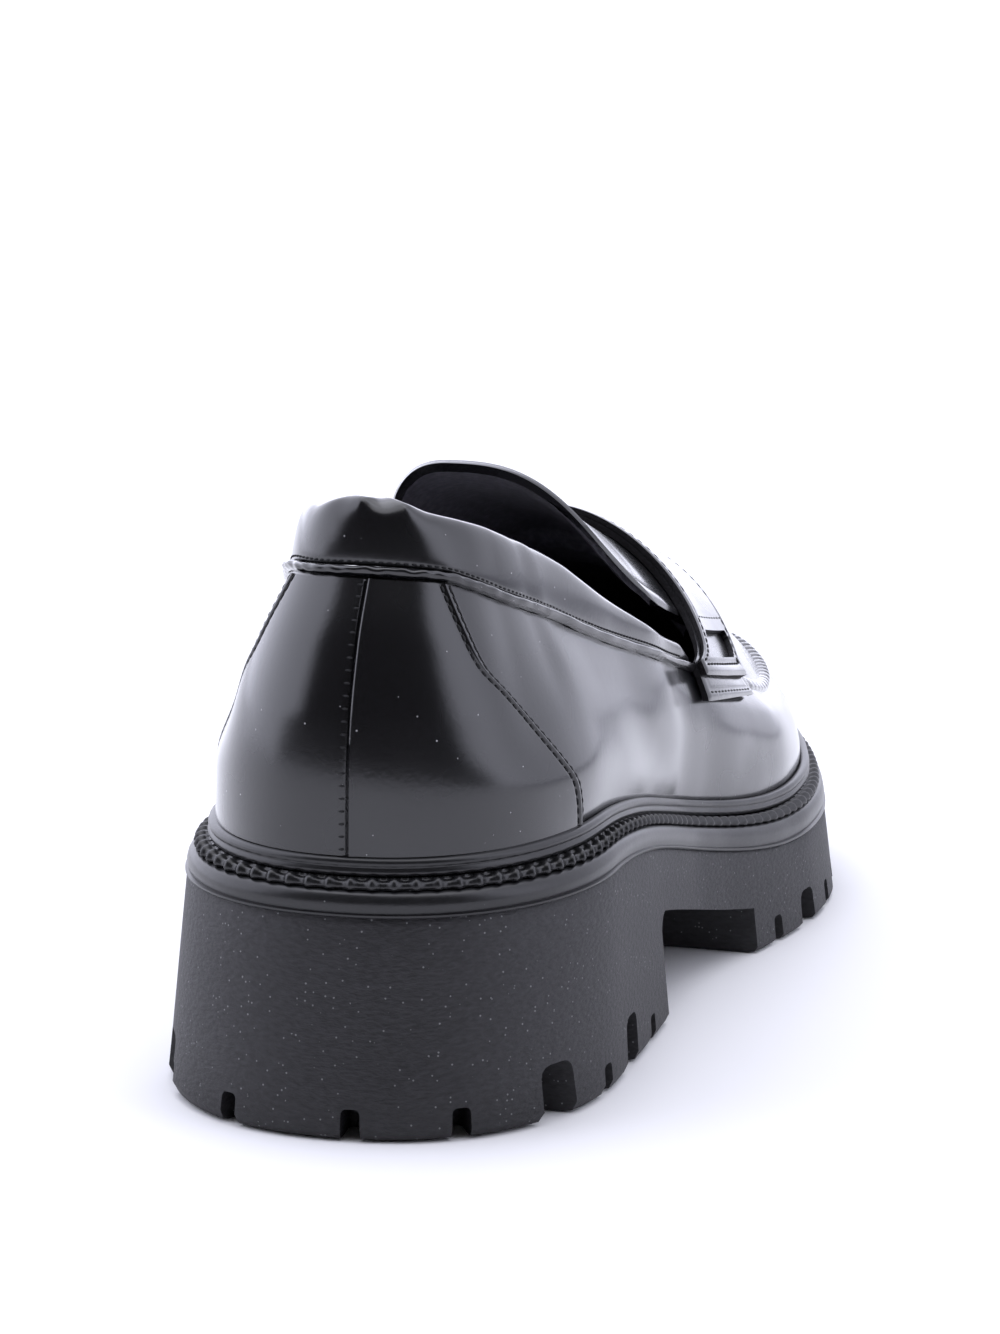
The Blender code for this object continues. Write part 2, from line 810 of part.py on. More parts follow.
def ribbed_welt(rubber):
    """A flat strip round the upper whose outer edge is a row of teeth."""
    length = 2 * FEATHER_LENGTH + 2 * BALL_HALF_WIDTH
    teeth = round(length / TOOTH_PITCH)
    fine = 400
    track = [outline(-1 + 2 * i / fine, WELT_OUT) for i in range(fine + 1)]
    run = [0.0]
    for a, b in zip(track, track[1:]):
        run.append(run[-1] + (b - a).length)
    sections = []
    index = 0
    for i in range(2 * teeth):
        goal = run[-1] * i / (2 * teeth)
        while run[index + 1] < goal:
            index += 1
        t = (goal - run[index]) / (run[index + 1] - run[index])
        place = -1 + 2 * (index + t) / fine
        dip = TOOTH_DEPTH * (i % 2)
        inside = outline(place, -WALL)
        outside = outline(place, WELT_OUT - dip)
        low = outline(place, WELT_OUT - TOOTH_DEPTH)
        sections.append([
            Vector((inside.x, inside.y, welt_bottom(inside.y))),
            Vector((low.x, low.y, welt_bottom(low.y))),
            Vector((outside.x, outside.y, welt_top(outside.y) - dip)),
            Vector((inside.x, inside.y, welt_top(inside.y))),
        ])
    return swept("ribbed_welt", sections, rubber, closed=True)


def rand(rubber):
    """The smooth roll that covers the line where upper and sole meet."""
    sections = []
    for place in RIM_PLACES:
        foot = outline(place)
        out = outline(place, RAND_OUT) - foot
        low_girth = girth_at_height(place, 0.0)
        top_girth = girth_at_height(place, RAND_HEIGHT)
        base = feather(foot.y)
        inner_low = skin(place, low_girth, GAP)
        inner_top = skin(place, top_girth, GAP)
        inner_low.z = base
        inner_top.z = base + RAND_HEIGHT
        def at(share, rise):
            point = foot + out * share
            point.z = base + RAND_HEIGHT * rise
            return point
        sections.append([
            inner_low, at(0.80, 0.0), at(1.05, 0.25), at(0.92, 0.52), at(0.98, 0.78), inner_top,
        ])
    return swept("rand", sections, rubber, closed=True)


def insole(lining):
    """The board and sock inside, just clear of the upper's wall."""
    inset = -(WALL + 2 * GAP)
    def bottom(y):
        return band_top(y) + GAP
    def top(y):
        return bottom(y) + INSOLE_THICKNESS
    return slab("insole", [ring(inset, bottom), ring(inset, top)], lining)


# Upper

def wall_cells(places, rows, low, high):
    """Cells of a strip of the wall between two girths, for each pair of places."""
    cells = []
    for a, b in zip(places, places[1:]):
        for i in range(rows):
            one = low + (high - low) * i / rows
            other = low + (high - low) * (i + 1) / rows
            cells.append([(a, one), (b, one), (b, other), (a, other)])
    return cells


def upper(leather):
    """Quarters and vamp: one shell, open at the mouth and underneath."""
    throat = round(place_at_share(THROAT_SHARE) * STEPS) / STEPS
    places = [i / STEPS for i in range(-STEPS, STEPS + 1)]
    cells = wall_cells(places, WALL_ROWS, 2.0, 1.0)
    front_outer = [p for p in places if p >= throat - 1e-9]
    front_inner = [p for p in places if p <= -throat + 1e-9]
    for front in (front_outer, front_inner):
        cells += wall_cells(front, CROWN_ROWS, 1.0, 0.0)
    def outside(corner):
        return skin(*corner)
    def inside(corner):
        point = skin(corner[0], corner[1], -WALL)
        if corner[1] > 2 - 1e-9:
            point.z = skin(*corner).z
        return point
    return plate("upper", cells, outside, inside, leather)


def counter(name, side, leather):
    """Overlay on the back of a quarter, from the back seam to a curved front edge."""
    columns = 8
    rows = 8
    foot_end = place_at_share(counter_share(0.0))
    high = 1 + (BEAD_HEIGHT + 2 * GAP) / BACK_HEIGHT / seam_height(0.1)
    start = BACK_SEAM_GAP / 2 + side * BACK_SEAM_SHIFT
    def corner(i, j):
        low = girth_at_height(side * foot_end * i / columns, RAND_HEIGHT + 2 * GAP)
        girth = low + (high - low) * j / rows
        end = place_at_share(counter_share(2 - girth))
        first = start / (outline(1 / STEPS).x * wall_share(0.0, 2 - girth)) / STEPS
        return (side * (first + (end - first) * i / columns), girth)
    cells = []
    for i in range(columns):
        for j in range(rows):
            cells.append([corner(i, j), corner(i + 1, j), corner(i + 1, j + 1), corner(i, j + 1)])
    return plate(
        name, cells,
        lambda c: skin(c[0], c[1], GAP + COUNTER_THICKNESS),
        lambda c: skin(c[0], c[1], GAP),
        leather,
    )


def rim_frame(place):
    """The seam line's point, with level ways outward and a way up."""
    origin = skin(place, 1.0)
    out = skin_normal(place, 1.0)
    out.z = 0.0
    return origin, out.normalized()


def collar_places():
    end_y = strap_y(STRAP_BASE_END, 0.0, 0.0) - COLLAR_END_GAP
    end = place_at_share(share_of(end_y))
    count = 2 * (HEEL_STEPS + WAIST_STEPS // 2) + 6
    return [end * (1 - 2 * i / count) for i in range(count + 1)]


def collar_band(leather):
    """Soft padded band that stands on the quarters' top edge, all round the mouth to the strap."""
    sections = []
    for place in collar_places():
        origin, out = rim_frame(place)
        share = share_of(outline(place).y)
        height = collar_height(share) * COLLAR_HEIGHT
        flare = collar_flare(share) * COLLAR_FLARE
        pad = COLLAR_FOOT + (COLLAR_PAD - COLLAR_FOOT) * min(height / COLLAR_HEIGHT * 1.4, 1.0)
        def at(depth, rise):
            point = origin + out * (flare * rise - depth)
            point.z = origin.z + GAP + height * rise
            return point
        swell = (pad - COLLAR_FOOT) * 0.25
        sections.append([
            at(0.0, 0.0),
            at(-swell * 0.8, 0.35),
            at(-swell, 0.68),
            at(0.1 * pad, 0.92),
            at(0.42 * pad, 1.0),
            at(0.78 * pad, 0.92),
            at(pad - swell, 0.62),
            at(pad - swell, 0.30),
            at(COLLAR_FOOT, 0.0),
        ])
    return swept("collar_band", sections, leather, closed=False)


def collar_bead(leather):
    """Rolled edge along the top of the quarters, half round, against their outer face."""
    sections = []
    for place in collar_places():
        seam = seam_above(place)
        def at(down, lift):
            return skin(place, girth_at_height(place, seam - BEAD_HEIGHT * down), lift + GAP)
        sections.append([
            at(0.05, 0.0),
            at(0.08, BEAD_THICKNESS * 0.6),
            at(0.35, BEAD_THICKNESS),
            at(0.65, BEAD_THICKNESS),
            at(0.92, BEAD_THICKNESS * 0.6),
            at(1.0, 0.0),
        ])
    return swept("collar_bead", sections, leather, closed=False)


def apron_seam(leather):
    """Raised moccasin seam round the toe, from one end of the strap to the other."""
    start = place_at_share((STRAP_FRONT_Y - STRAP_FRONT_SWEEP + FEATHER_BACK + 0.003) / FEATHER_LENGTH)
    count = 26
    sections = []
    for i in range(count + 1):
        place = start + (2 - 2 * start) * i / count
        place = place if place <= 1 else place - 2
        width = (skin(place, 0.99) - skin(place, 1.01)).length / 0.02
        half = APRON_SEAM_WIDTH / 2 / width
        sections.append([
            skin(place, 1 + half, GAP),
            skin(place, 1 + half * 0.7, APRON_SEAM_HEIGHT * 0.8 + GAP),
            skin(place, 1.0, APRON_SEAM_HEIGHT + GAP),
            skin(place, 1 - half * 0.7, APRON_SEAM_HEIGHT * 0.8 + GAP),
            skin(place, 1 - half, GAP),
            skin(place, 1.0, GAP),
        ])
    return swept("apron_seam", sections, leather, closed=False)


def place_and_side(y, across):
    """Place on the outer or the inner side whose section lies at y."""
    return math.copysign(place_at_share((y + FEATHER_BACK) / FEATHER_LENGTH), across)


def tongue(leather):
    """A curved sheet over the instep. Its front end is tucked under the vamp's throat edge."""
    throat_y = outline(round(place_at_share(THROAT_SHARE) * STEPS) / STEPS).y
    columns = 12
    free_rows = 8
    rows = free_rows + 2
    def corner(i, j):
        across = -1 + 2 * i / columns
        rear = TONGUE_REAR_Y + TONGUE_SWEEP * (0.15 * across ** 2 + 0.30 * across ** 4 + 0.55 * across ** 12)
        if j > free_rows:
            return (across, throat_y + (-0.002 if j == free_rows + 1 else TONGUE_TUCK))
        return (across, rear + (throat_y - 0.009 - rear) * (j / free_rows) ** 0.9)
    def at(corner_at, lift):
        across, y = corner_at
        reach = TONGUE_GIRTH
        place = place_and_side(y, across)
        return skin(place, abs(across) * reach, lift)
    def outer_lift(y):
        tucked = ease(y, throat_y - 0.009, throat_y - 0.002)
        lip = TONGUE_LIP * (1 - ease(y, TONGUE_REAR_Y, TONGUE_REAR_Y + 0.02))
        return (TONGUE_LIFT + lip) * (1 - tucked) - (WALL + 3 * GAP) * tucked
    cells = []
    for i in range(columns):
        for j in range(rows):
            cells.append([corner(i, j), corner(i + 1, j), corner(i + 1, j + 1), corner(i, j + 1)])
    return plate(
        "tongue", cells,
        lambda c: at(c, outer_lift(c[1])),
        lambda c: at(c, outer_lift(c[1]) - TONGUE_THICKNESS),
        leather,
    )


STRAP_STOPS = [
    0.0, 0.13, 0.26, 0.39, 0.52, 0.65, 0.77, WINDOW_INNER, 0.95, WINDOW_OUTER, STRAP_TOP_END, STRAP_BASE_END,
]


def strap_y(across, run, setback):
    """y on the strap: run 0 is its rear edge and 1 its front edge, across its girth share."""
    reach = min(abs(across), 1.02)
    rear = STRAP_REAR_Y - STRAP_REAR_SWEEP * reach ** 5 + setback
    front = STRAP_FRONT_Y - STRAP_FRONT_SWEEP * reach ** 3 - setback
    return rear + (front - rear) * run


def strap_layer(name, end, bottom, thickness, setback, window, leather):
    """One layer of the saddle strap, laid over the vamp and tongue."""
    stops = [stop for stop in STRAP_STOPS if stop <= end]
    stops = [-stop for stop in reversed(stops[1:])] + stops
    runs = [0.0, WINDOW_MARGIN, 0.36, 0.62, 1 - WINDOW_MARGIN, 1.0]
    cells = []
    for a, b in zip(stops, stops[1:]):
        middle = abs(a + b) / 2
        for one, other in zip(runs, runs[1:]):
            inside = WINDOW_INNER < middle < WINDOW_OUTER
            between = WINDOW_MARGIN < (one + other) / 2 < 1 - WINDOW_MARGIN
            if window and inside and between:
                continue
            cells.append([(a, one), (b, one), (b, other), (a, other)])
    def at(corner, lift):
        across, run = corner
        y = strap_y(across, run, setback)
        girth = abs(across) * (1 - STRAP_END_SLANT * run * across ** 2)
        return skin(place_and_side(y, across), girth, lift)
    return plate(
        name, cells,
        lambda c: at(c, bottom + thickness),
        lambda c: at(c, bottom),
        leather,
    )


STRAP_BASE_LIFT = TONGUE_LIFT + GAP + 0.0001


def saddle_strap(leather):
    return strap_layer(
        "saddle_strap", STRAP_BASE_END, STRAP_BASE_LIFT, STRAP_BASE_THICKNESS, 0.0, False, leather,
    )


def strap_overlay(leather):
    return strap_layer(
        "strap_overlay", STRAP_TOP_END, STRAP_BASE_LIFT + STRAP_BASE_THICKNESS + GAP,
        STRAP_TOP_THICKNESS, STRAP_SETBACK, True, leather,
    )


def main():
    for thing in list(bpy.data.objects):
        bpy.data.objects.remove(thing, do_unlink=True)
    brushed = surface("brushed_leather", (0.012, 0.012, 0.014), 0.14)
    edge = surface("raw_edge_leather", (0.016, 0.015, 0.018), 0.45)
    lining = surface("lining", (0.018, 0.017, 0.019), 0.75)
    lugged = surface("lugged_rubber", (0.032, 0.031, 0.034), 0.78)
    smooth_rubber = surface("smooth_rubber", (0.022, 0.021, 0.024), 0.38)

    outsole(lugged)
    midsole_band(smooth_rubber)
    ribbed_welt(smooth_rubber)
    rand(smooth_rubber)
    insole(lining)
    upper(brushed)
    counter("counter_outer", 1, brushed)
    counter("counter_inner", -1, brushed)
    collar_band(brushed)
    collar_bead(brushed)
    apron_seam(brushed)
    tongue(brushed)
    saddle_strap(edge)
    strap_overlay(brushed)


main()
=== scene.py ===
# %% [markdown]
# # A chunky lug sole loafer
#
# This lesson dresses a solid model of a shoe. The solids already have the right sizes. Here each of
# them gets a smooth, detailed piece in its place: glossy leather panels with turned edges and
# stitches, a soft collar, a ribbed welt and a buffed rubber sole. Every shoe is built round a last, a
# foot-shaped block, and so is this scene: one function gives the last's surface, and most pieces are
# plain Blender primitives that are laid over it.

# %% Load the solid model
import math

import bmesh
import bpy
from mathutils import Matrix, Vector


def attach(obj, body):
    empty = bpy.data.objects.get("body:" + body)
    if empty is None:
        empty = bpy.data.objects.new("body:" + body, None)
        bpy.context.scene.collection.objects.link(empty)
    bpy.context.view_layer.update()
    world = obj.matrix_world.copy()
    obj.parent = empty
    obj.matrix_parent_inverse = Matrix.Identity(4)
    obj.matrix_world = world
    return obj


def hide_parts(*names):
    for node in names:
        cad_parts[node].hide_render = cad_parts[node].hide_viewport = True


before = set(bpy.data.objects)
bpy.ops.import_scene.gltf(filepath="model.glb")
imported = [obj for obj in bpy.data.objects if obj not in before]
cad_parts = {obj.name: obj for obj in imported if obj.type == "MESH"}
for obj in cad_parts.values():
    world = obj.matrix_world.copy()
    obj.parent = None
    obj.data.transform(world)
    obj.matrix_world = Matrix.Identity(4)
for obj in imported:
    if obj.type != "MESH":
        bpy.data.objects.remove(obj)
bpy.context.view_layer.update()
print("Nodes:", ", ".join(sorted(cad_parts)))

# %% [markdown]
# ## The sizes of the last and of the sole
#
# A shoemaker's numbers: the length of the feather line, where upper and sole meet, the widths at
# heel and ball, the heights of the layers, and two tables of sections along the foot. They are the
# same named sizes as the solid model's, so whatever is built from them fits it.

# %% Sizes
# Driving sizes of the last
FEATHER_LENGTH = 0.262      # heel to toe along the line where upper and sole meet
FEATHER_BACK = 0.033        # how far that line reaches behind the origin
HEEL_HALF_WIDTH = 0.0351
BALL_HALF_WIDTH = 0.0468    # from the heel's axis to the outer ball
BACK_HEIGHT = 0.0526        # quarter above the feather line at the heel's back
INNER_RISE = 0.0020         # how much higher its inner side is, beside the heel
INSTEP_HEIGHT = 0.0672      # crown above the feather line at the top of the tongue
HEEL_ROUND = 0.050          # length of the heel's round end
TOE_ROUND = 0.097           # length of the toe's round end
HEEL_ROUND_POWER = 2.19
TOE_ROUND_POWER = 2.27
TOE_SHIFT = -0.0029         # the toe tip lies to the inner side
TOE_SPINE_REACH = 0.051     # the toe's sections fan out from this far behind the tip

# Driving sizes of the sole
HEEL_BODY_HEIGHT = 0.0398
FORE_BODY_HEIGHT = 0.0195
HEEL_BAND_HEIGHT = 0.0042
FORE_BAND_HEIGHT = 0.0050
WELT_THICKNESS = 0.0018
RAND_HEIGHT = 0.0030
TOE_SPRING = 0.0054
SPRING_START = 0.68         # share of the length
TREAD_SPRING_START = 0.74
PITCH_START = 0.166         # the sole steps down from heel height between these shares
PITCH_END = 0.646
BREAST_Y = 0.0493           # front face of the heel block
BREAST_RAKE = 0.003
FORE_BLOCK_Y = 0.1069       # rear face of the forefoot block
WAIST_THICKNESS = 0.0125    # sole body over the arch
ARCH_CORNER_RADIUS = 0.004

# How far each layer of the sole stands out from the feather line
BODY_TOP_OUT = 0.0055
BODY_FOOT_OUT = 0.0078
BODY_BACK_OUT = 0.0107
BAND_OUT = 0.0046
WELT_OUT = 0.0044
RAND_OUT = 0.0018
FOOT_EDGE_RADIUS = 0.0022

# Lugs
WIDE_GROOVE = 0.0092
WIDE_GROOVE_DEPTH = 0.0105
FORE_GROOVE_DEPTH = 0.0078
SIPE = 0.0044
SIPE_DEPTH = 0.0058
SIPE_REACH = 0.013          # from the sole's edge inward
LUG_PITCH = 0.0352          # from one wide groove to the next
HEEL_GROOVE_Y = -0.0190
FORE_GROOVE_Y = 0.1356
HEEL_GROOVES = 2
FORE_GROOVES = 3
END_NOTCH = 0.0040
END_NOTCH_REACH = 0.009

# Walls and overlays
WALL = 0.0018
GAP = 0.0003
INSOLE_THICKNESS = 0.0042
COUNTER_THICKNESS = 0.0009
BEAD_HEIGHT = 0.0022
BACK_SEAM_SHIFT = 0.0014    # the back seam runs a little to the outer side
COLLAR_FOOT = 0.0018
COLLAR_PAD = 0.0042
COLLAR_HEIGHT = 0.0140
COLLAR_FLARE = 0.0032
APRON_SEAM_WIDTH = 0.0030
APRON_SEAM_HEIGHT = 0.0015
TONGUE_THICKNESS = 0.0020
TONGUE_LIFT = 0.0004
TONGUE_REAR_Y = 0.0550
TONGUE_GIRTH = 0.80
TONGUE_SWEEP = 0.042        # how far its rear corners lie ahead of its middle
TONGUE_TUCK = 0.010
TONGUE_LIP = 0.0012
STRAP_BASE_THICKNESS = 0.0014
STRAP_TOP_THICKNESS = 0.0012
STRAP_REAR_Y = 0.1195
STRAP_FRONT_Y = 0.148
STRAP_REAR_SWEEP = 0.0240
STRAP_FRONT_SWEEP = 0.0185
STRAP_BASE_END = 1.25       # girth at which each layer ends, 1 is the seam line
STRAP_TOP_END = 1.10
STRAP_SETBACK = 0.0009      # margin of the lower layer outside the upper one
WINDOW_INNER = 0.885        # girth shares of the cut-out on each side
WINDOW_OUTER = 1.01
WINDOW_MARGIN = 0.12        # share of the strap's width left beside it
STRAP_END_SLANT = 0.064     # how much its ends rise toward the front
THROAT_SHARE = 0.617

HEEL_STEPS = 9
WAIST_STEPS = 13
TOE_STEPS = 12
STEPS = HEEL_STEPS + WAIST_STEPS + TOE_STEPS

# Feather line: share of the length, half widths as shares of the heel's and the ball's
OUTLINE = [
    # share, outer of ball, inner of ball
    (0.00, 0.750, 0.750),
    (0.12, 0.750, 0.750),
    (0.25, 0.742, 0.716),
    (0.34, 0.729, 0.655),
    (0.42, 0.733, 0.622),
    (0.48, 0.779, 0.637),
    (0.55, 0.872, 0.700),
    (0.61, 0.943, 0.765),
    (0.674, 0.990, 0.812),
    (0.74, 1.000, 0.826),
    (0.80, 0.987, 0.823),
    (1.00, 0.932, 0.769),
]

# Sections of the upper. seam: height of the bead and apron seam, as a share of BACK_HEIGHT.
# low, middle, high, top: half width at 1/4, 1/2, 3/4 and all of that height, as shares of the
# feather line's. fill widens the inner side at the top. crown: height of the ridge as a share of
# INSTEP_HEIGHT, and power says how square the crown is.
SECTIONS = [
    # share, seam, low, middle, high, top, fill, crown, power
    (0.00, 1.010, 0.995, 0.965, 0.885, 0.735, 1.00, 1.00, 2.8),
    (0.025, 0.983, 0.990, 0.945, 0.850, 0.700, 1.00, 1.00, 2.8),
    (0.05, 0.943, 0.990, 0.930, 0.825, 0.670, 1.00, 1.00, 2.8),
    (0.094, 0.880, 0.995, 0.900, 0.780, 0.640, 1.00, 1.00, 2.8),
    (0.145, 0.826, 1.015, 0.920, 0.785, 0.645, 1.00, 1.00, 2.8),
    (0.19, 0.781, 1.030, 0.950, 0.830, 0.680, 1.00, 1.00, 2.8),
    (0.25, 0.706, 1.040, 0.990, 0.890, 0.765, 1.00, 1.00, 2.8),
    (0.304, 0.664, 1.050, 1.020, 0.945, 0.845, 1.03, 1.00, 2.9),
    (0.41, 0.627, 1.060, 1.080, 1.040, 0.955, 1.08, 0.992, 2.6),
    (0.49, 0.603, 1.040, 1.055, 1.020, 0.935, 1.08, 0.972, 2.15),
    (0.55, 0.570, 1.020, 1.025, 0.975, 0.880, 1.06, 0.948, 2.0),
    (0.60, 0.527, 1.010, 1.000, 0.950, 0.845, 1.03, 0.904, 2.1),
    (0.675, 0.445, 1.005, 0.990, 0.935, 0.825, 1.00, 0.800, 2.35),
    (0.74, 0.375, 1.005, 0.985, 0.930, 0.815, 1.00, 0.700, 2.4),
    (0.80, 0.340, 1.005, 0.985, 0.930, 0.810, 1.00, 0.612, 2.3),
    (0.90, 0.325, 1.005, 0.990, 0.945, 0.835, 1.00, 0.455, 2.2),
    (0.967, 0.330, 1.000, 0.990, 0.945, 0.850, 1.00, 0.285, 2.2),
    (1.00, 0.330, 1.000, 0.990, 0.945, 0.850, 1.00, 0.240, 2.2),
]

# Sideways shift of the instep's ridge to the inner side, as a share of BALL_HALF_WIDTH
RIDGE_SHIFT = [
    # share, shift
    (0.30, -0.115),
    (0.58, -0.095),
    (0.70, -0.070),
    (0.80, -0.035),
    (1.00, -0.030),
]

# Collar band along the feather line's share: height and outward flare, as shares of theirs
COLLAR = [
    # share, height, flare
    (0.00, 0.90, -0.35),
    (0.025, 0.76, -0.42),
    (0.05, 0.80, -0.50),
    (0.094, 0.86, -0.55),
    (0.18, 0.85, -0.58),
    (0.237, 0.82, -0.52),
    (0.27, 0.72, -0.40),
    (0.304, 0.60, -0.30),
    (0.335, 0.50, -0.20),
    (0.365, 0.42, -0.10),
    (0.39, 0.36, 0.00),
    (0.42, 0.31, 0.00),
    (0.53, 0.25, 0.00),
]

# Front edge of the counters: height as a share of the seam's, and the share of the length
COUNTER_EDGE = [
    # height, share
    (0.00, 0.146),
    (0.15, 0.143),
    (0.25, 0.138),
    (0.36, 0.122),
    (0.48, 0.101),
    (0.60, 0.074),
    (0.70, 0.0515),
    (0.82, 0.0395),
    (1.00, 0.026),
]

# Notches in the sole's round ends: sideways place, as a share of the half width there
HEEL_NOTCHES = [-0.57, -0.25, 0.07, 0.33]
TOE_NOTCHES = [-0.45, 0.0, 0.45]

# %% [markdown]
# ## Smooth curves through the tables
#
# A table holds a few stations only. A monotone cubic joins them without the overshoot that an
# ordinary spline would have, so a wall never bulges between two of its sections.

# %% Curves
def smooth(points):
    """A monotone cubic through (x, y) points, as a function."""
    xs = [p[0] for p in points]
    ys = [p[1] for p in points]
    steps = [xs[i + 1] - xs[i] for i in range(len(xs) - 1)]
    slopes = [(ys[i + 1] - ys[i]) / steps[i] for i in range(len(steps))]
    tangents = [slopes[0]]
    for i in range(1, len(slopes)):
        if slopes[i - 1] * slopes[i] <= 0:
            tangents.append(0.0)
        else:
            left = 2 * steps[i] + steps[i - 1]
            right = steps[i] + 2 * steps[i - 1]
            tangents.append((left + right) / (left / slopes[i - 1] + right / slopes[i]))
    tangents.append(slopes[-1])

    def value(x):
        x = min(max(x, xs[0]), xs[-1])
        i = 0
        while i < len(steps) - 1 and x > xs[i + 1]:
            i += 1
        t = (x - xs[i]) / steps[i]
        return (
            ys[i] * (1 + 2 * t) * (1 - t) ** 2
            + steps[i] * tangents[i] * t * (1 - t) ** 2
            + ys[i + 1] * t * t * (3 - 2 * t)
            + steps[i] * tangents[i + 1] * t * t * (t - 1)
        )

    return value


def column(table, index):
    """One column of a table as a smooth function of its first column."""
    return smooth([(row[0], row[index]) for row in table])


outer_half = column(OUTLINE, 1)
inner_half = column(OUTLINE, 2)
seam_height = column(SECTIONS, 1)
side_low = column(SECTIONS, 2)
side_middle = column(SECTIONS, 3)
side_high = column(SECTIONS, 4)
side_top = column(SECTIONS, 5)
inner_fill = column(SECTIONS, 6)
crown_height = column(SECTIONS, 7)
crown_power = column(SECTIONS, 8)
collar_height = column(COLLAR, 1)
collar_flare = column(COLLAR, 2)
counter_share = smooth(COUNTER_EDGE)
ridge_shift = column(RIDGE_SHIFT, 1)


def ease(value, start, end):
    """0 before start, 1 after end, and smooth between."""
    t = min(max((value - start) / (end - start), 0.0), 1.0)
    return t * t * (3 - 2 * t)

# %% [markdown]
# ## Heights and outline of the sole
#
# Seen from the side, the sole steps down from heel to ball and springs up at the toe. Each layer
# follows that one line. Seen from above, every layer is the feather line, grown outward.

# %% Heights
def share_of(y):
    return min(max((y + FEATHER_BACK) / FEATHER_LENGTH, 0.0), 1.0)


def spring(share, start):
    return TOE_SPRING * max((share - start) / (1 - start), 0.0) ** 2


def stepped(share, heel, fore):
    drop = ease(share, PITCH_START, PITCH_END)
    return heel * (1 - drop) + fore * drop


def body_top(y):
    share = share_of(y)
    return stepped(share, HEEL_BODY_HEIGHT, FORE_BODY_HEIGHT) + spring(share, SPRING_START)


def band_bottom(y):
    return body_top(y) + GAP


def band_top(y):
    return band_bottom(y) + stepped(share_of(y), HEEL_BAND_HEIGHT, FORE_BAND_HEIGHT)


def welt_bottom(y):
    return band_top(y) + GAP


def welt_top(y):
    return welt_bottom(y) + WELT_THICKNESS


def feather(y):
    """Height at which the upper stands on the welt."""
    return welt_top(y) + GAP


def tread(y):
    return spring(share_of(y), TREAD_SPRING_START)

# %% Outline
def station_y(run, back, toe):
    """y of a place along one side, run 0 at the heel's back and 1 at the toe tip."""
    rear = -FEATHER_BACK - back
    front = FEATHER_LENGTH - FEATHER_BACK + toe
    heel_end = HEEL_STEPS / STEPS
    toe_start = 1 - TOE_STEPS / STEPS
    if run < heel_end:
        return rear + HEEL_ROUND * (1 - math.cos(math.pi / 2 * run / heel_end))
    if run > toe_start:
        return front - TOE_ROUND * (1 - math.cos(math.pi / 2 * (1 - run) / (1 - toe_start)))
    t = (run - heel_end) / (toe_start - heel_end)
    return (rear + HEEL_ROUND) * (1 - t) + (front - TOE_ROUND) * t


def centre_x(y):
    """The last's centre line bends to the inner side towards the toe."""
    return TOE_SHIFT * max((share_of(y) - 0.5) / 0.5, 0.0) ** 2


def outline(place, side_out=0.0, back_out=None, toe_out=None):
    """Point of the plan outline, grown outward. place runs from -1 to 1: 0 is the heel's back,
    1 and -1 the toe tip, above 0 the outer side and below 0 the inner one."""
    back_out = side_out if back_out is None else back_out
    toe_out = side_out if toe_out is None else toe_out
    run = min(abs(place), 1.0)
    y = station_y(run, back_out, toe_out)
    share = share_of(y)
    half = (outer_half(share) if place >= 0 else inner_half(share)) * BALL_HALF_WIDTH
    half += (HEEL_HALF_WIDTH - outer_half(0.0) * BALL_HALF_WIDTH) * (1 - ease(share, 0.2, 0.5))
    from_back = min((y + FEATHER_BACK + back_out) / HEEL_ROUND, 1.0)
    from_toe = min((FEATHER_LENGTH - FEATHER_BACK + toe_out - y) / TOE_ROUND, 1.0)
    heel_end = max(1 - (1 - from_back) ** HEEL_ROUND_POWER, 0.0) ** (1 / HEEL_ROUND_POWER)
    toe_end = max(1 - (1 - from_toe) ** TOE_ROUND_POWER, 0.0) ** (1 / TOE_ROUND_POWER)
    reach = (half + side_out) * heel_end * toe_end
    return Vector((centre_x(y) + math.copysign(reach, place), y, 0.0))

# %% [markdown]
# ## The last's surface
#
# `skin(place, girth, lift)` is the shoe's leather side. Place runs round the shoe, from 0 at the
# heel's back to 1 at the toe tip, with minus for the inner side. Girth runs from 2 at the sole, over
# 1 at the seam line, to 0 on the ridge of the instep. Lift is a height above the leather, so a panel
# is a range of place and girth, and its thickness is a lift.

# %% Surface of the last
HEEL_SPINE_Y = HEEL_ROUND - FEATHER_BACK
TOE_SPINE_Y = FEATHER_LENGTH - FEATHER_BACK - TOE_SPINE_REACH
TOE_SAMPLES = 200


def spine_point(y):
    """The point of the last's centre line that the sections at y fan out from."""
    at = min(max(y, HEEL_SPINE_Y), TOE_SPINE_Y)
    return Vector((centre_x(at), at, 0.0))


def seam_above(place):
    """Height of the seam line above the feather line, a little more on the inner side."""
    share = share_of(outline(place).y)
    height = seam_height(share) * BACK_HEIGHT
    if place < 0:
        height += INNER_RISE * ease(share, 0.0, 0.06) * (1 - ease(share, 0.20, 0.45))
    return height


def wall_share(share, rise):
    """Half width at a part of the seam's height, as a share of the feather line's."""
    return smooth([
        (0.00, 1.0),
        (0.25, side_low(share)),
        (0.50, side_middle(share)),
        (0.75, side_high(share)),
        (1.00, side_top(share)),
    ])(rise)


def apex_x(y):
    """The instep's ridge lies to the inner side of the centre line."""
    return centre_x(y) + ridge_shift(share_of(y)) * BALL_HALF_WIDTH


def seam_point(place):
    """Plan place of the seam line, between wall and crown."""
    foot = outline(place)
    spine = spine_point(foot.y)
    width = wall_share(share_of(foot.y), 1.0)
    if place < 0:
        width *= inner_fill(share_of(foot.y))
    return spine + (foot - spine) * width


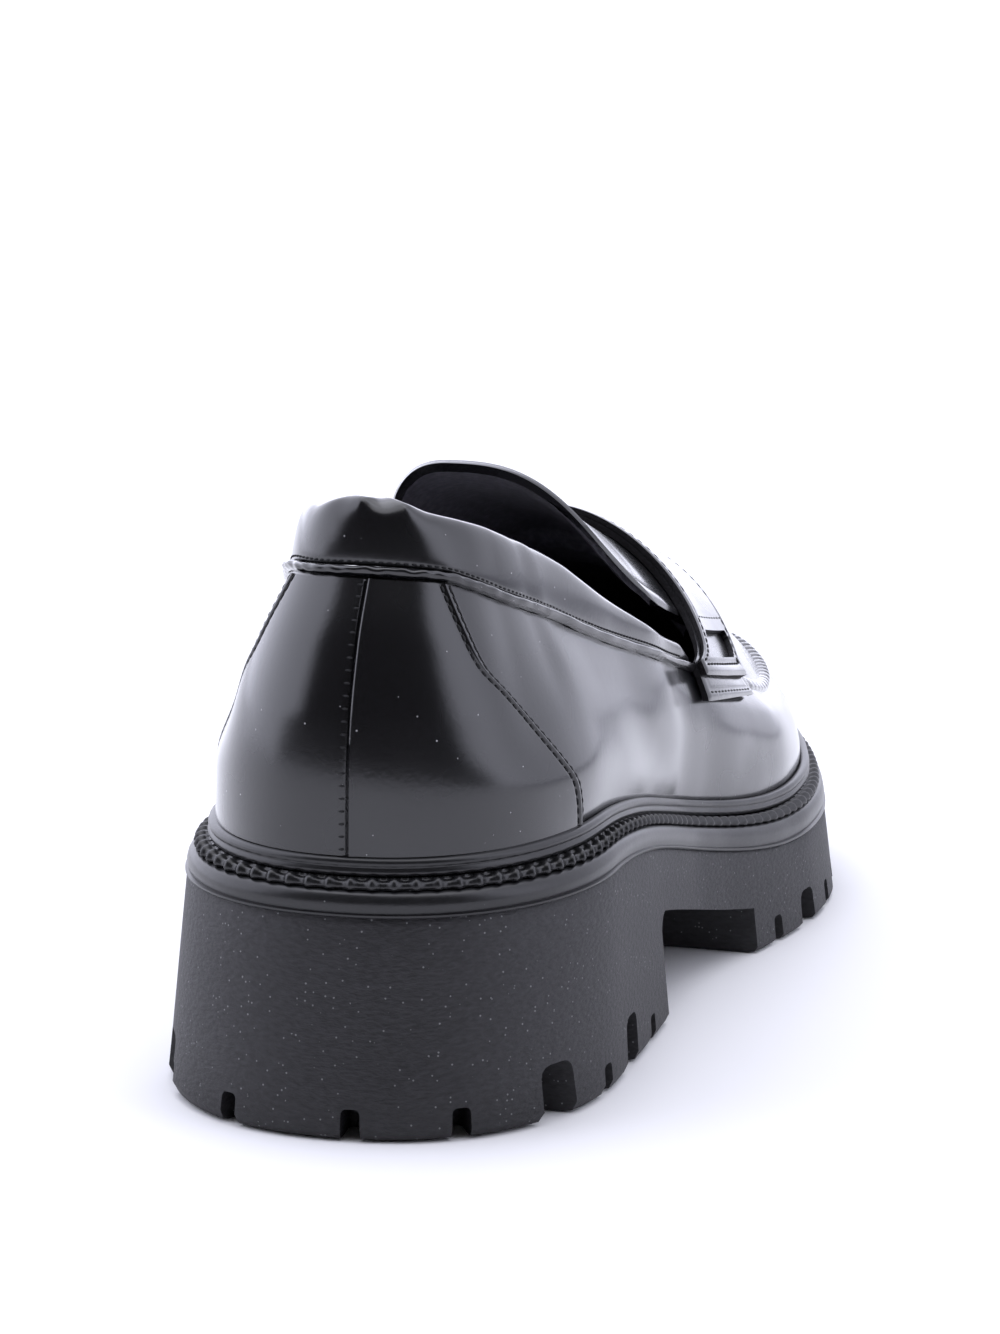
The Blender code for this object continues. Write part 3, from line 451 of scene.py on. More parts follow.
def toe_line_x(y):
    """The ridge over the toe, straight from the fan's centre to the tip."""
    tip = seam_point(1.0)
    start = apex_x(TOE_SPINE_Y)
    return start + (tip.x - start) * (y - TOE_SPINE_Y) / (tip.y - TOE_SPINE_Y)


def toe_seam_line(side):
    """The seam line over the toe as functions of y: half width from the ridge, and height."""
    widths = []
    heights = []
    for i in range(TOE_SAMPLES + 1):
        place = side * i / TOE_SAMPLES
        foot = outline(place)
        if foot.y >= TOE_SPINE_Y:
            point = seam_point(place)
            widths.append((point.y, abs(point.x - toe_line_x(point.y))))
            heights.append((point.y, feather(foot.y) + seam_above(place)))
    return smooth(widths), smooth(heights)


def ridge(y):
    return feather(y) + crown_height(share_of(y)) * INSTEP_HEIGHT


toe_outer = toe_seam_line(1)
toe_inner = toe_seam_line(-1)


def bare_skin(place, girth):
    """Point on the upper. girth is 0 at the ridge, 1 at the seam line and 2 at the feather."""
    if abs(place) > 1:
        place = math.copysign(2 - abs(place), -place)
    foot = outline(place)
    spine = spine_point(foot.y)
    share = share_of(foot.y)
    rise = min(2 - girth, 1.0)
    width = wall_share(share, rise)
    if place < 0:
        width *= 1 + (inner_fill(share) - 1) * rise
    seam_z = feather(foot.y) + seam_above(place)
    seam = spine + (foot - spine) * width
    if girth >= 1:
        seam.z = feather(foot.y) + (seam_z - feather(foot.y)) * rise
        return seam
    apex = Vector((apex_x(spine.y), spine.y, 0.0))
    point = apex + (seam - apex) * girth
    across = girth
    if foot.y > TOE_SPINE_Y:
        half, height = toe_outer if place > 0 else toe_inner
        seam_z = height(point.y)
        across = abs(point.x - toe_line_x(point.y)) / max(half(point.y), 1e-6)
    fall = across ** crown_power(share_of(point.y))
    point.z = max(ridge(point.y), seam_z) * (1 - fall) + seam_z * fall
    return point


PLACE_STEP = 0.004
GIRTH_STEP = 0.02
POLE_GIRTH = 0.06


def skin_normal(place, girth):
    """Outward normal, from the surface's slopes. Near the ridge both sides are averaged."""
    at = min(max(girth, POLE_GIRTH), 2 - GIRTH_STEP)
    if girth >= 1:
        at = max(at, 1 + GIRTH_STEP)
    along = bare_skin(place + PLACE_STEP, at) - bare_skin(place - PLACE_STEP, at)
    up = bare_skin(place, at - GIRTH_STEP) - bare_skin(place, at + GIRTH_STEP)
    normal = along.cross(up)
    if place < 0:
        normal = -normal
    if girth < POLE_GIRTH:
        mirrored = normal.copy()
        mirrored.x = -mirrored.x
        normal = normal + mirrored
    foot = outline(place)
    outward = foot - spine_point(foot.y) if girth >= 1 else Vector((0, 0, 1))
    if normal.dot(outward) < 0:
        normal = -normal
    return normal.normalized()


def skin(place, girth, lift=0.0):
    """Point at a height above the upper's surface, below it where lift is negative."""
    point = bare_skin(place, girth)
    if lift:
        point = point + skin_normal(place, girth) * lift
    return point


def last_run(holds):
    """The last run from 0 to 1 for which a test holds, found by halving."""
    low, high = 0.0, 1.0
    for _ in range(40):
        middle = (low + high) / 2
        if holds(middle):
            low = middle
        else:
            high = middle
    return (low + high) / 2


def place_at_share(share):
    """The place along one side whose foot lies at a share of the length."""
    return last_run(lambda run: share_of(station_y(run, 0.0, 0.0)) < share)


def girth_at_height(place, height):
    """The girth on the wall at a height above the feather line."""
    return 2 - height / seam_above(place)


print("Height of the quarters at the back:", round(skin(0.0, 1.0).z, 4))

# %% [markdown]
# ## Helpers for laying primitives
#
# A flat sheet of leather starts as Blender's grid. `lay` moves each of its points to a place on the
# last and keeps the grid's UV map. `sweep` does the same with a small table of a section, one row of
# points for each row of the table. Closed rings come from the same grid: its two ends meet and their
# doubles are merged.

# %% Helpers
ROOT = "root"


def only(piece):
    """Selects one object and makes it the active one."""
    bpy.ops.object.select_all(action="DESELECT")
    piece.select_set(True)
    bpy.context.view_layer.objects.active = piece


def edit(piece, *steps):
    """Runs edit mode operators on the whole piece."""
    only(piece)
    bpy.ops.object.mode_set(mode="EDIT")
    bpy.ops.mesh.select_all(action="SELECT")
    for step in steps:
        step()
    bpy.ops.object.mode_set(mode="OBJECT")


def merge(distance=0.00001):
    bpy.ops.mesh.remove_doubles(threshold=distance)


def face_out():
    bpy.ops.mesh.normals_make_consistent(inside=False)


def lay(name, columns, rows, where):
    """A grid primitive whose points go to where(u, v), with u and v from 0 to 1."""
    bpy.ops.object.select_all(action="DESELECT")
    bpy.ops.mesh.primitive_grid_add(x_subdivisions=columns, y_subdivisions=rows, size=1)
    piece = bpy.context.object
    piece.name = name
    piece.data.name = name
    for vertex in piece.data.vertices:
        vertex.co = where(vertex.co.x + 0.5, vertex.co.y + 0.5)
    return piece


def sweep(name, columns, section, where):
    """A grid with a line of points for each row of a section's table, placed by where(u, row)."""
    last = len(section) - 1
    return lay(name, columns, last, lambda u, v: where(u, section[round(v * last)]))


def joined(name, *parts):
    """One object out of several that share their edges."""
    only(parts[0])
    for part in parts:
        part.select_set(True)
    bpy.ops.object.join()
    parts[0].name = name
    parts[0].data.name = name
    edit(parts[0], merge)
    return parts[0]


def spine_middle(point):
    """A point inside the shoe, level with another point."""
    middle = spine_point(point.y)
    middle.z = feather(middle.y)
    return middle


def turn_outward(piece):
    """Turns a sheet over if most of its faces look into the shoe."""
    outward = 0.0
    for face in piece.data.polygons:
        outward += face.normal.dot(face.center - spine_middle(face.center)) * face.area
    if outward < 0:
        edit(piece, bpy.ops.mesh.flip_normals)


def finish_with(piece, kind, name, **values):
    """Adds a modifier with its values and applies it."""
    only(piece)
    modifier = piece.modifiers.new(name, kind)
    for key, value in values.items():
        setattr(modifier, key, value)
    bpy.ops.object.modifier_apply(modifier=name)


def make_panel(sheet, thickness, face, back=None, rim=None):
    """Gives a sheet its wall, with one finish on its face and others on its back and cut rim."""
    turn_outward(sheet)
    sheet.data.materials.append(face)
    if back is not None:
        sheet.data.materials.append(back)
    finish_with(
        sheet, "SOLIDIFY", "wall", thickness=thickness, offset=-1.0, use_even_offset=True,
        material_offset=0 if back is None else 1, material_offset_rim=0 if rim is None else 1,
    )


def make_roll(tube):
    """Merges the long edges of a tube's grid and fills its two ends."""
    edit(tube, merge, bpy.ops.mesh.select_non_manifold, lambda: bpy.ops.mesh.fill_holes(sides=0))
    edit(tube, face_out)


def settle(piece, material, slot, *nodes, angle=40.0):
    """Gives a piece its finish and ties it to the solid model."""
    if not piece.data.materials:
        piece.data.materials.append(material)
    only(piece)
    bpy.ops.object.shade_smooth_by_angle(angle=math.radians(angle))
    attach(piece, ROOT)
    if nodes:
        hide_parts(*nodes)
    faces = sum(len(face.vertices) - 2 for face in piece.data.polygons)
    print(piece.name, "has", faces, "triangles")


# %% [markdown]
# ## Finishes
#
# Brushed leather is dyed black, waxed and polished: a glossy coat over a very fine grain, with a
# little dust. The coat is the shader's coat layer, and the soft wobble in its reflections is a weak,
# wide bump. The lining and the cut edges keep no coat. Both rubbers come from one mould: the
# band is left smooth, and the lugged unit is buffed round and round, so its marks run level.

# %% Finish helpers
def new_finish(name, colour, roughness):
    """A Principled material with its shader, node tree and a mapped position."""
    material = bpy.data.materials.new(name)
    material.use_nodes = True
    tree = material.node_tree
    shader = tree.nodes["Principled BSDF"]
    shader.inputs["Base Color"].default_value = (*colour, 1.0)
    shader.inputs["Roughness"].default_value = roughness
    shader.inputs["Metallic"].default_value = 0.0
    shader.inputs["Specular IOR Level"].default_value = 0.5
    material.diffuse_color = (*colour, 1.0)
    return material, tree, shader


def position(tree, scale=(1.0, 1.0, 1.0)):
    where = tree.nodes.new("ShaderNodeTexCoord")
    mapped = tree.nodes.new("ShaderNodeMapping")
    mapped.inputs["Scale"].default_value = scale
    tree.links.new(where.outputs["Object"], mapped.inputs["Vector"])
    return mapped.outputs["Vector"]


def noise(tree, vector, scale, detail=2.0):
    texture = tree.nodes.new("ShaderNodeTexNoise")
    texture.inputs["Scale"].default_value = scale
    texture.inputs["Detail"].default_value = detail
    tree.links.new(vector, texture.inputs["Vector"])
    return texture.outputs["Fac"]


def math_node(tree, operation, one, other=None):
    """A Math node on one or two values, each a socket or a number."""
    node = tree.nodes.new("ShaderNodeMath")
    node.operation = operation
    for socket, value in zip(node.inputs, (one, other)):
        if isinstance(value, (int, float)):
            socket.default_value = value
        elif value is not None:
            tree.links.new(value, socket)
    return node.outputs["Value"]


def ramp(tree, value, low, high, start, end, kind="LINEAR"):
    """Maps a value between low and high to start and end, clamped."""
    mapped = tree.nodes.new("ShaderNodeMapRange")
    mapped.interpolation_type = kind
    mapped.inputs["From Min"].default_value = low
    mapped.inputs["From Max"].default_value = high
    mapped.inputs["To Min"].default_value = start
    mapped.inputs["To Max"].default_value = end
    tree.links.new(value, mapped.inputs["Value"])
    return mapped.outputs["Result"]


def bump(tree, height, strength, distance, below=None):
    node = tree.nodes.new("ShaderNodeBump")
    node.inputs["Strength"].default_value = strength
    node.inputs["Distance"].default_value = distance
    tree.links.new(height, node.inputs["Height"])
    if below is not None:
        tree.links.new(below, node.inputs["Normal"])
    return node.outputs["Normal"]


def mix_colour(tree, factor, one, other):
    """A blend of two colours, each three numbers or a socket."""
    node = tree.nodes.new("ShaderNodeMix")
    node.data_type = "RGBA"
    tree.links.new(factor, node.inputs[0])
    for socket, colour in ((node.inputs[6], one), (node.inputs[7], other)):
        if isinstance(colour, tuple):
            socket.default_value = (*colour, 1.0)
        else:
            tree.links.new(colour, socket)
    return node.outputs[2]


def specks(tree, vector, scale, radius, share):
    """1 on small round specks, 0 elsewhere. share is how many of the cells hold a speck."""
    cells = tree.nodes.new("ShaderNodeTexVoronoi")
    cells.inputs["Scale"].default_value = scale
    tree.links.new(vector, cells.inputs["Vector"])
    spot = ramp(tree, cells.outputs["Distance"], radius * 0.6, radius, 1.0, 0.0)
    picked = tree.nodes.new("ShaderNodeSeparateColor")
    tree.links.new(cells.outputs["Color"], picked.inputs["Color"])
    chosen = math_node(tree, "LESS_THAN", picked.outputs["Red"], share)
    return math_node(tree, "MULTIPLY", spot, chosen)


# %% Brushed leather
DYED_BLACK = (0.006, 0.006, 0.007)
DUST = (0.36, 0.36, 0.37)
# How many times a pattern repeats in a metre
GRAIN_SCALE = 900.0
DUST_SCALE = 900.0
WAX_SCALE = 34.0
WOBBLE_SCALE = 26.0


def brushed_finish(name, dust, uneven):
    """Polished leather. dust is the share of specks, uneven the strength of the soft wobble."""
    material, tree, shader = new_finish(name, DYED_BLACK, 0.26)
    here = position(tree)
    dusty = specks(tree, here, DUST_SCALE, 0.17, dust)
    tree.links.new(mix_colour(tree, dusty, DYED_BLACK, DUST), shader.inputs["Base Color"])
    wax = ramp(tree, noise(tree, here, WAX_SCALE, 3.0), 0.35, 0.7, 0.16, 0.34)
    tree.links.new(wax, shader.inputs["Roughness"])
    shader.inputs["Specular IOR Level"].default_value = 0.2
    shader.inputs["Coat Weight"].default_value = 1.0
    shader.inputs["Coat Roughness"].default_value = 0.16
    shader.inputs["Coat IOR"].default_value = 1.5
    wobble = bump(tree, noise(tree, here, WOBBLE_SCALE, 1.0), uneven, 0.006)
    grain = bump(tree, noise(tree, here, GRAIN_SCALE, 3.0), 0.035, 0.0004, wobble)
    dirt = bump(tree, dusty, 0.5, 0.0002, grain)
    tree.links.new(dirt, shader.inputs["Normal"])
    tree.links.new(dirt, shader.inputs["Coat Normal"])
    return material


BRUSHED = brushed_finish("brushed_leather", 0.045, 0.06)
BRUSHED_CLEAN = brushed_finish("brushed_leather_clean", 0.010, 0.02)

# %% Lining, cut edges and thread
def plain_finish(name, colour, roughness, scale, strength, distance):
    """A dull finish, slightly mottled. strength and distance are those of its bump."""
    material, tree, shader = new_finish(name, colour, roughness)
    uneven = noise(tree, position(tree), scale, 4.0)
    lighter = tuple(c * 1.9 for c in colour)
    mottled = mix_colour(tree, ramp(tree, uneven, 0.4, 0.75, 0.0, 1.0), colour, lighter)
    tree.links.new(mottled, shader.inputs["Base Color"])
    tree.links.new(bump(tree, uneven, strength, distance), shader.inputs["Normal"])
    return material


LINING = plain_finish("lining", (0.070, 0.067, 0.080), 0.55, 700.0, 0.25, 0.0004)
RAW_EDGE = plain_finish("raw_edge", (0.010, 0.009, 0.011), 0.62, 1500.0, 0.5, 0.0004)
THREAD = plain_finish("thread", (0.004, 0.004, 0.005), 0.75, 2500.0, 0.6, 0.0002)

# %% Rubber
PIT = (0.16, 0.16, 0.165)
BUFF_SCALE = 620.0
PIT_SCALE = 1300.0
LEVEL_STRETCH = (1.0, 1.0, 2.5)     # packs the pattern in height, so that its marks run level


def rubber_finish(name, colour, roughness, buffed):
    """Moulded rubber. Buffed, it is lighter and rougher, with many light pits."""
    material, tree, shader = new_finish(name, colour, roughness)
    marks = noise(tree, position(tree, LEVEL_STRETCH), BUFF_SCALE, 5.0)
    here = position(tree)
    pits = specks(tree, here, PIT_SCALE, 0.28, 0.10 if buffed else 0.004)
    lighter = tuple(c * (2.1 if buffed else 1.3) for c in colour)
    toned = mix_colour(tree, ramp(tree, marks, 0.35, 0.72, 0.0, 1.0), colour, lighter)
    tree.links.new(mix_colour(tree, pits, toned, PIT), shader.inputs["Base Color"])
    buff = bump(tree, marks, 0.60 if buffed else 0.06, 0.0005)
    wave = bump(tree, noise(tree, here, 60.0, 2.0), 0.08, 0.002, buff)
    tree.links.new(wave, shader.inputs["Normal"])
    return material


BUFFED_RUBBER = rubber_finish("buffed_rubber", (0.011, 0.0105, 0.012), 0.60, True)
SATIN_RUBBER = rubber_finish("satin_rubber", (0.010, 0.010, 0.011), 0.30, False)

# %% [markdown]
# ## The lugged unit
#
# Heel block, waist and forefoot are one moulding. It starts as rings of a grid, one above another,
# closed top and bottom. The grooves and the gap under the waist are then cut out with a Boolean,
# each cutter a cube that is tapered and has its upper edges bevelled, as the mould's bars are.

# %% Rings round the sole
RING_COLUMNS = 272


def ring_point(place, side_out, height, back_out=None, toe_out=None):
    point = outline(place, side_out, back_out, toe_out)
    point.z = height(point.y)
    return point


def even_run(u):
    """Place for u from 0 to 1, once round the shoe, starting at the toe tip on the inner side."""
    return -1.0 + 2.0 * u


def close_ends(piece):
    """Merges a ring's ends and fills its top and bottom with a ladder of faces from side to side."""
    edit(piece, merge)
    work = bmesh.new()
    work.from_mesh(piece.data)
    edges = [edge for edge in work.edges if edge.is_boundary]
    loops = []
    while edges:
        loop = [edges[0].verts[0], edges[0].verts[1]]
        edges.pop(0)
        while loop[-1] is not loop[0]:
            step = next(edge for edge in edges if loop[-1] in edge.verts)
            edges.remove(step)
            loop.append(step.other_vert(loop[-1]))
        loops.append(loop[:-1])
    for loop in loops:
        tip = max(range(len(loop)), key=lambda i: loop[i].co.y)
        loop = loop[tip:] + loop[:tip]
        count = len(loop)
        for i in range(count // 2):
            corners = []
            for k in (i, i + 1, count - i - 1, count - i):
                corner = loop[k % count]
                if corner not in corners:
                    corners.append(corner)
            if len(corners) > 2:
                work.faces.new(corners)
    bmesh.ops.recalc_face_normals(work, faces=work.faces)
    work.to_mesh(piece.data)
    work.free()


SOLE_SIDE = [
    # rise from foot edge to top, outward share from foot to top, step in
    (0.000, 0.0, FOOT_EDGE_RADIUS),
    (0.010, 0.0, FOOT_EDGE_RADIUS * 0.35),
    (0.055, 0.0, 0.0),
    (0.250, 0.22, 0.0),
    (0.500, 0.48, 0.0),
    (0.750, 0.74, 0.0),
    (0.965, 0.97, 0.0),
    (1.000, 1.00, 0.0005),
]


def outsole_point(u, row):
    rise, outward, inward = row
    side = BODY_FOOT_OUT + (BODY_TOP_OUT - BODY_FOOT_OUT) * outward - inward
    back = BODY_BACK_OUT + (BODY_TOP_OUT - BODY_BACK_OUT) * outward - inward

    def height(y):
        return tread(y) + (body_top(y) - tread(y)) * rise

    return ring_point(even_run(u), side, height, back, side)


lugged_unit = sweep("lugged_unit", RING_COLUMNS, SOLE_SIDE, outsole_point)
close_ends(lugged_unit)

# %% Cutters for grooves and sipes
CUT_BELOW = 0.004           # how far the cutters reach below the tread
BAR_TAPER = 0.86            # a groove's width at its root, as a share of its mouth's
BAR_ROUND = 0.24            # radius of a groove's edges, as a share of its width
GROOVE_LENGTH = 0.2
SIPE_OVERHANG = 0.04        # how far a sipe's cutter stands out of the sole's side
NOTCH_OVERHANG = 0.03
NOTCH_SEARCH = 400          # places tried along each side, to find where a notch meets the edge
cutters = []


def add_bar(width, length, depth, at, bearing):
    """A cube shaped into a groove's cutter: narrower at its top, whose edges are round."""
    bpy.ops.object.select_all(action="DESELECT")
    bpy.ops.mesh.primitive_cube_add(size=1)
    bar = bpy.context.object
    bpy.ops.object.mode_set(mode="EDIT")
    bpy.ops.mesh.select_all(action="DESELECT")
    work = bmesh.from_edit_mesh(bar.data)
    for face in work.faces:
        face.select = face.normal.z > 0.5
    bmesh.update_edit_mesh(bar.data)
    bpy.ops.transform.resize(value=(BAR_TAPER, 1.0, 1.0))
    bpy.ops.object.mode_set(mode="OBJECT")
    bar.scale = (width, length, depth + CUT_BELOW)
    bar.rotation_euler = (0.0, 0.0, bearing)
    bar.location = (at.x, at.y, at.z + (depth - CUT_BELOW) / 2)
    bpy.ops.object.transform_apply(location=True, rotation=True, scale=True)
    finish_with(bar, "BEVEL", "soft", width=width * BAR_ROUND, segments=3, limit_method="ANGLE")
    cutters.append(bar)


def foot_edge(place):
    return outline(place, BODY_FOOT_OUT, BODY_BACK_OUT, BODY_FOOT_OUT)


def half_widths_at(y):
    """Where the sole's foot edge crosses a line across the shoe: outer and inner x."""
    run = last_run(lambda run: station_y(run, BODY_BACK_OUT, BODY_FOOT_OUT) < y)
    return foot_edge(run).x, foot_edge(-run).x


def groove_across(y, width, depth):
    add_bar(width, GROOVE_LENGTH, depth, Vector((0.0, y, tread(y))), math.radians(90))


def sipes_at(y):
    for edge in half_widths_at(y):
        way = math.copysign(1.0, edge)
        middle = edge + way * (SIPE_OVERHANG / 2 - SIPE_REACH / 2)
        length = SIPE_REACH + SIPE_OVERHANG
        add_bar(SIPE, length, SIPE_DEPTH, Vector((middle, y, tread(y))), math.radians(90))


for i in range(HEEL_GROOVES):
    groove_across(HEEL_GROOVE_Y + i * LUG_PITCH, WIDE_GROOVE, WIDE_GROOVE_DEPTH)
    sipes_at(HEEL_GROOVE_Y + (i + 0.5) * LUG_PITCH)
for i in range(FORE_GROOVES):
    groove_across(FORE_GROOVE_Y + i * LUG_PITCH, WIDE_GROOVE, FORE_GROOVE_DEPTH)
    sipes_at(FORE_GROOVE_Y + (i - 0.5) * LUG_PITCH)


def end_notch(share, back):
    """A short notch that points away from the middle of a round end."""
    rear = -FEATHER_BACK - BODY_BACK_OUT + HEEL_ROUND
    front = FEATHER_LENGTH - FEATHER_BACK + BODY_FOOT_OUT - TOE_SPINE_REACH
    middle = Vector((0.0, rear, 0.0)) if back else Vector((TOE_SHIFT, front, 0.0))
    bearing = math.radians(90) * share
    ahead = -math.cos(bearing) if back else math.cos(bearing)
    way = Vector((math.sin(bearing), ahead, 0.0))
    best = None
    for k in range(-NOTCH_SEARCH, NOTCH_SEARCH + 1):
        apart = foot_edge(k / NOTCH_SEARCH) - middle
        along = apart.dot(way)
        off = (apart - way * along).length
        if along > 0 and (best is None or off < best[0]):
            best = (off, along)
    centre = middle + way * (best[1] + NOTCH_OVERHANG / 2 - END_NOTCH_REACH / 2)
    centre.z = tread(centre.y - way.y * NOTCH_OVERHANG / 2)
    turn = math.atan2(-way.x, way.y)
    add_bar(END_NOTCH, END_NOTCH_REACH + NOTCH_OVERHANG, SIPE_DEPTH, centre, turn)


for share in HEEL_NOTCHES:
    end_notch(share, True)
for share in TOE_NOTCHES:
    end_notch(share, False)

# %% Cutter for the gap under the waist
ARCH_HALF_WIDTH = 0.09
ARCH_WALL_END = 0.2         # shares of the cutter's columns: first the heel's face, then the corner
ARCH_CORNER_END = 0.45
TINY = 1e-6


def arch_point(u, v):
    """The gap's outline in side view, swept across the shoe. u runs along it and v across."""
    rear = BREAST_Y - BREAST_RAKE
    roof = body_top(rear) - WAIST_THICKNESS
    corner = ARCH_CORNER_RADIUS
    x = ARCH_HALF_WIDTH * (2 * v - 1)
    if u <= ARCH_WALL_END:
        t = u / ARCH_WALL_END
        y = BREAST_Y * (1 - t) + rear * t
        return Vector((x, y, -CUT_BELOW + (roof - corner + CUT_BELOW) * t))
    if u <= ARCH_CORNER_END:
        turned = (u - ARCH_WALL_END) / (ARCH_CORNER_END - ARCH_WALL_END)
        bearing = math.pi - math.pi / 2 * turned
        y = rear + corner + corner * math.cos(bearing)
        top = body_top(rear + corner) - WAIST_THICKNESS
        return Vector((x, y, top - corner + corner * math.sin(bearing)))
    t = (u - ARCH_CORNER_END) / (1 - ARCH_CORNER_END)
    y = (rear + corner) * (1 - t) + FORE_BLOCK_Y * t
    return Vector((x, y, body_top(y) - WAIST_THICKNESS))


arch_cutter = lay("arch_cutter", 20, 1, arch_point)
work = bmesh.new()
work.from_mesh(arch_cutter.data)
for x in (-ARCH_HALF_WIDTH, ARCH_HALF_WIDTH):
    rail = [v for v in work.verts if abs(v.co.x - x) < TINY]
    rail.sort(key=lambda v: v.index)
    foot = work.verts.new((x, FORE_BLOCK_Y, -CUT_BELOW))
    work.faces.new(rail + [foot])


def corners_at(y, above):
    """The cutter's two corners on a line across the shoe, the inner one first."""
    found = [v for v in work.verts if abs(v.co.y - y) < TINY and (v.co.z > 0) == above]
    return sorted(found, key=lambda v: v.co.x)


feet = corners_at(FORE_BLOCK_Y, False)
tops = corners_at(FORE_BLOCK_Y, True)
rears = corners_at(BREAST_Y, False)
work.faces.new([feet[0], feet[1], tops[1], tops[0]])
work.faces.new([feet[0], feet[1], rears[1], rears[0]])
bmesh.ops.recalc_face_normals(work, faces=work.faces)
work.to_mesh(arch_cutter.data)
work.free()
cutters.append(arch_cutter)

# %% Cut the lugs
only(cutters[0])
for bar in cutters:
    bar.select_set(True)
bpy.ops.object.join()
all_bars = bpy.context.object
finish_with(
    lugged_unit, "BOOLEAN", "lugs", operation="DIFFERENCE", solver="EXACT",
    use_self=True, object=all_bars,
)
bpy.data.objects.remove(all_bars, do_unlink=True)
edit(lugged_unit, merge)
settle(lugged_unit, BUFFED_RUBBER, "lugged_rubber", "outsole", angle=35.0)

# %% [markdown]
# ## Band, ribbed welt and rand
#
# Three rings lie between lugs and leather. The band is smooth with a thin lip at its foot, where the
# mould's halves met. The welt's ribs run outward over its edge, so its outline is a row of small
# round lobes. The rand is a roll with a soft groove round its middle.

# %% Smooth band
BAND_SIDE = [
    # share of the height, outward step
    (0.00, 0.0002),
    (0.00, 0.0009),
    (0.05, 0.0012),
    (0.12, 0.0012),
    (0.16, 0.0007),
    (0.30, 0.0008),
    (0.50, 0.0009),
    (0.70, 0.0007),
    (0.88, 0.0003),
    (0.97, -0.0002),
    (1.00, -0.0009),
    (1.00, -0.0100),
]


def band_point(u, row):
    rise, step = row

    def height(y):
        return band_bottom(y) - GAP + (band_top(y) - band_bottom(y) + GAP) * rise

    return ring_point(even_run(u), BAND_OUT + step, height)


smooth_band = sweep("smooth_band", RING_COLUMNS, BAND_SIDE, band_point)
close_ends(smooth_band)
settle(smooth_band, SATIN_RUBBER, "smooth_rubber", "midsole_band", angle=60.0)

# %% Ribbed welt
RIB_PITCH = 0.0040
RIB_DEPTH = 0.0009          # how far the dip between two ribs goes in
RIB_RISE = 0.0010           # and down
DIP_WIDTH = 0.24            # share of the pitch
PER_RIB = 10
TRACK_STEPS = 800
WELT_INNER = -0.0015        # the strip's inner edge, under the leather
fine_track = [outline(-1 + 2 * i / TRACK_STEPS, WELT_OUT) for i in range(TRACK_STEPS + 1)]
track_run = [0.0]
for one, other in zip(fine_track, fine_track[1:]):
    track_run.append(track_run[-1] + (other - one).length)
RIBS = round(track_run[-1] / RIB_PITCH)
print("Ribs round the welt:", RIBS)


def place_along(share):
    """Place at a share of the welt's own length, so that ribs are evenly spaced."""
    goal = share * track_run[-1]
    low, high = 0, len(track_run) - 1
    while high - low > 1:
        middle = (low + high) // 2
        if track_run[middle] <= goal:
            low = middle
        else:
            high = middle
    t = (goal - track_run[low]) / (track_run[high] - track_run[low])
    return -1 + 2 * (low + t) / TRACK_STEPS


WELT_SIDE = [
    # outward from the feather line, share of the height, how much of the rib's edge it shows,
    # and how much of the dip between two ribs
    (WELT_INNER, 0.00, 0.0, 0.0),
    (WELT_OUT - 0.0012, 0.00, 0.2, 0.0),
    (WELT_OUT - 0.0001, 0.10, 0.8, 0.0),
    (WELT_OUT + 0.0001, 0.35, 1.0, 0.0),
    (WELT_OUT - 0.0001, 0.62, 1.0, 0.2),
    (WELT_OUT - 0.0004, 0.84, 1.0, 0.5),
    (WELT_OUT - 0.0009, 0.96, 0.8, 0.8),
    (WELT_OUT - 0.0015, 0.98, 0.5, 0.9),
    (WELT_OUT - 0.0021, 0.88, 0.2, 0.5),
    (RAND_OUT + 0.0002, 0.86, 0.0, 0.0),
    (WELT_INNER, 0.80, 0.0, 0.0),
    (WELT_INNER, 0.00, 0.0, 0.0),
]


def welt_point(u, row):
    out, rise, rib, dip = row
    valley = 1 - math.exp(-(((u * RIBS) % 1.0 - 0.5) / DIP_WIDTH) ** 2)
    point = outline(place_along(u), out - RIB_DEPTH * rib * valley)
    base = welt_bottom(point.y) - GAP
    point.z = base + (WELT_THICKNESS + GAP * 2) * rise - RIB_RISE * dip * valley
    return point


rib_strip = sweep("rib_strip", RIBS * PER_RIB, WELT_SIDE, welt_point)
edit(rib_strip, merge, face_out)
settle(rib_strip, SATIN_RUBBER, "smooth_rubber", "ribbed_welt", angle=70.0)

# %% Rand
RAND_SIDE = [
    # outward share, share of the height
    (-0.10, 0.00),
    (0.55, 0.00),
    (0.95, 0.06),
    (1.10, 0.20),
    (1.12, 0.34),
    (0.98, 0.46),
    (0.94, 0.52),
    (1.00, 0.60),
    (1.08, 0.72),
    (1.00, 0.90),
    (0.72, 1.02),
    (0.35, 1.04),
    (0.12, 0.96),
    (-0.10, 0.80),
    (-0.10, 0.00),
]


def rand_point(u, row):
    """A point of the roll. Above its groove it leans in with the leather's wall."""
    place = even_run(u)
    out, rise = row
    foot = outline(place)
    point = foot + (outline(place, RAND_OUT + 0.0002) - foot) * max(out, 0.0)
    if rise > 0.3:
        wall = bare_skin(place, girth_at_height(place, RAND_HEIGHT * rise))
        lean = Vector((wall.x - foot.x, wall.y - foot.y, 0.0))
        point = point + lean * (1.0 if out < 0.8 else 0.5)
    point.z = feather(foot.y) - GAP + (RAND_HEIGHT + GAP) * rise
    return point


rand_roll = sweep("rand_roll", 408, RAND_SIDE, rand_point)
edit(rand_roll, merge, face_out)
settle(rand_roll, SATIN_RUBBER, "smooth_rubber", "rand", angle=70.0)

# %% [markdown]
# ## Quarters and vamp
#
# The lasted leather is one shell. Its wall is a grid that runs once round the shoe, and the vamp's
# two halves are grids that meet on the ridge of the instep. Joined and merged, they get their real
# thickness from Solidify, which gives the inner faces the lining's finish.

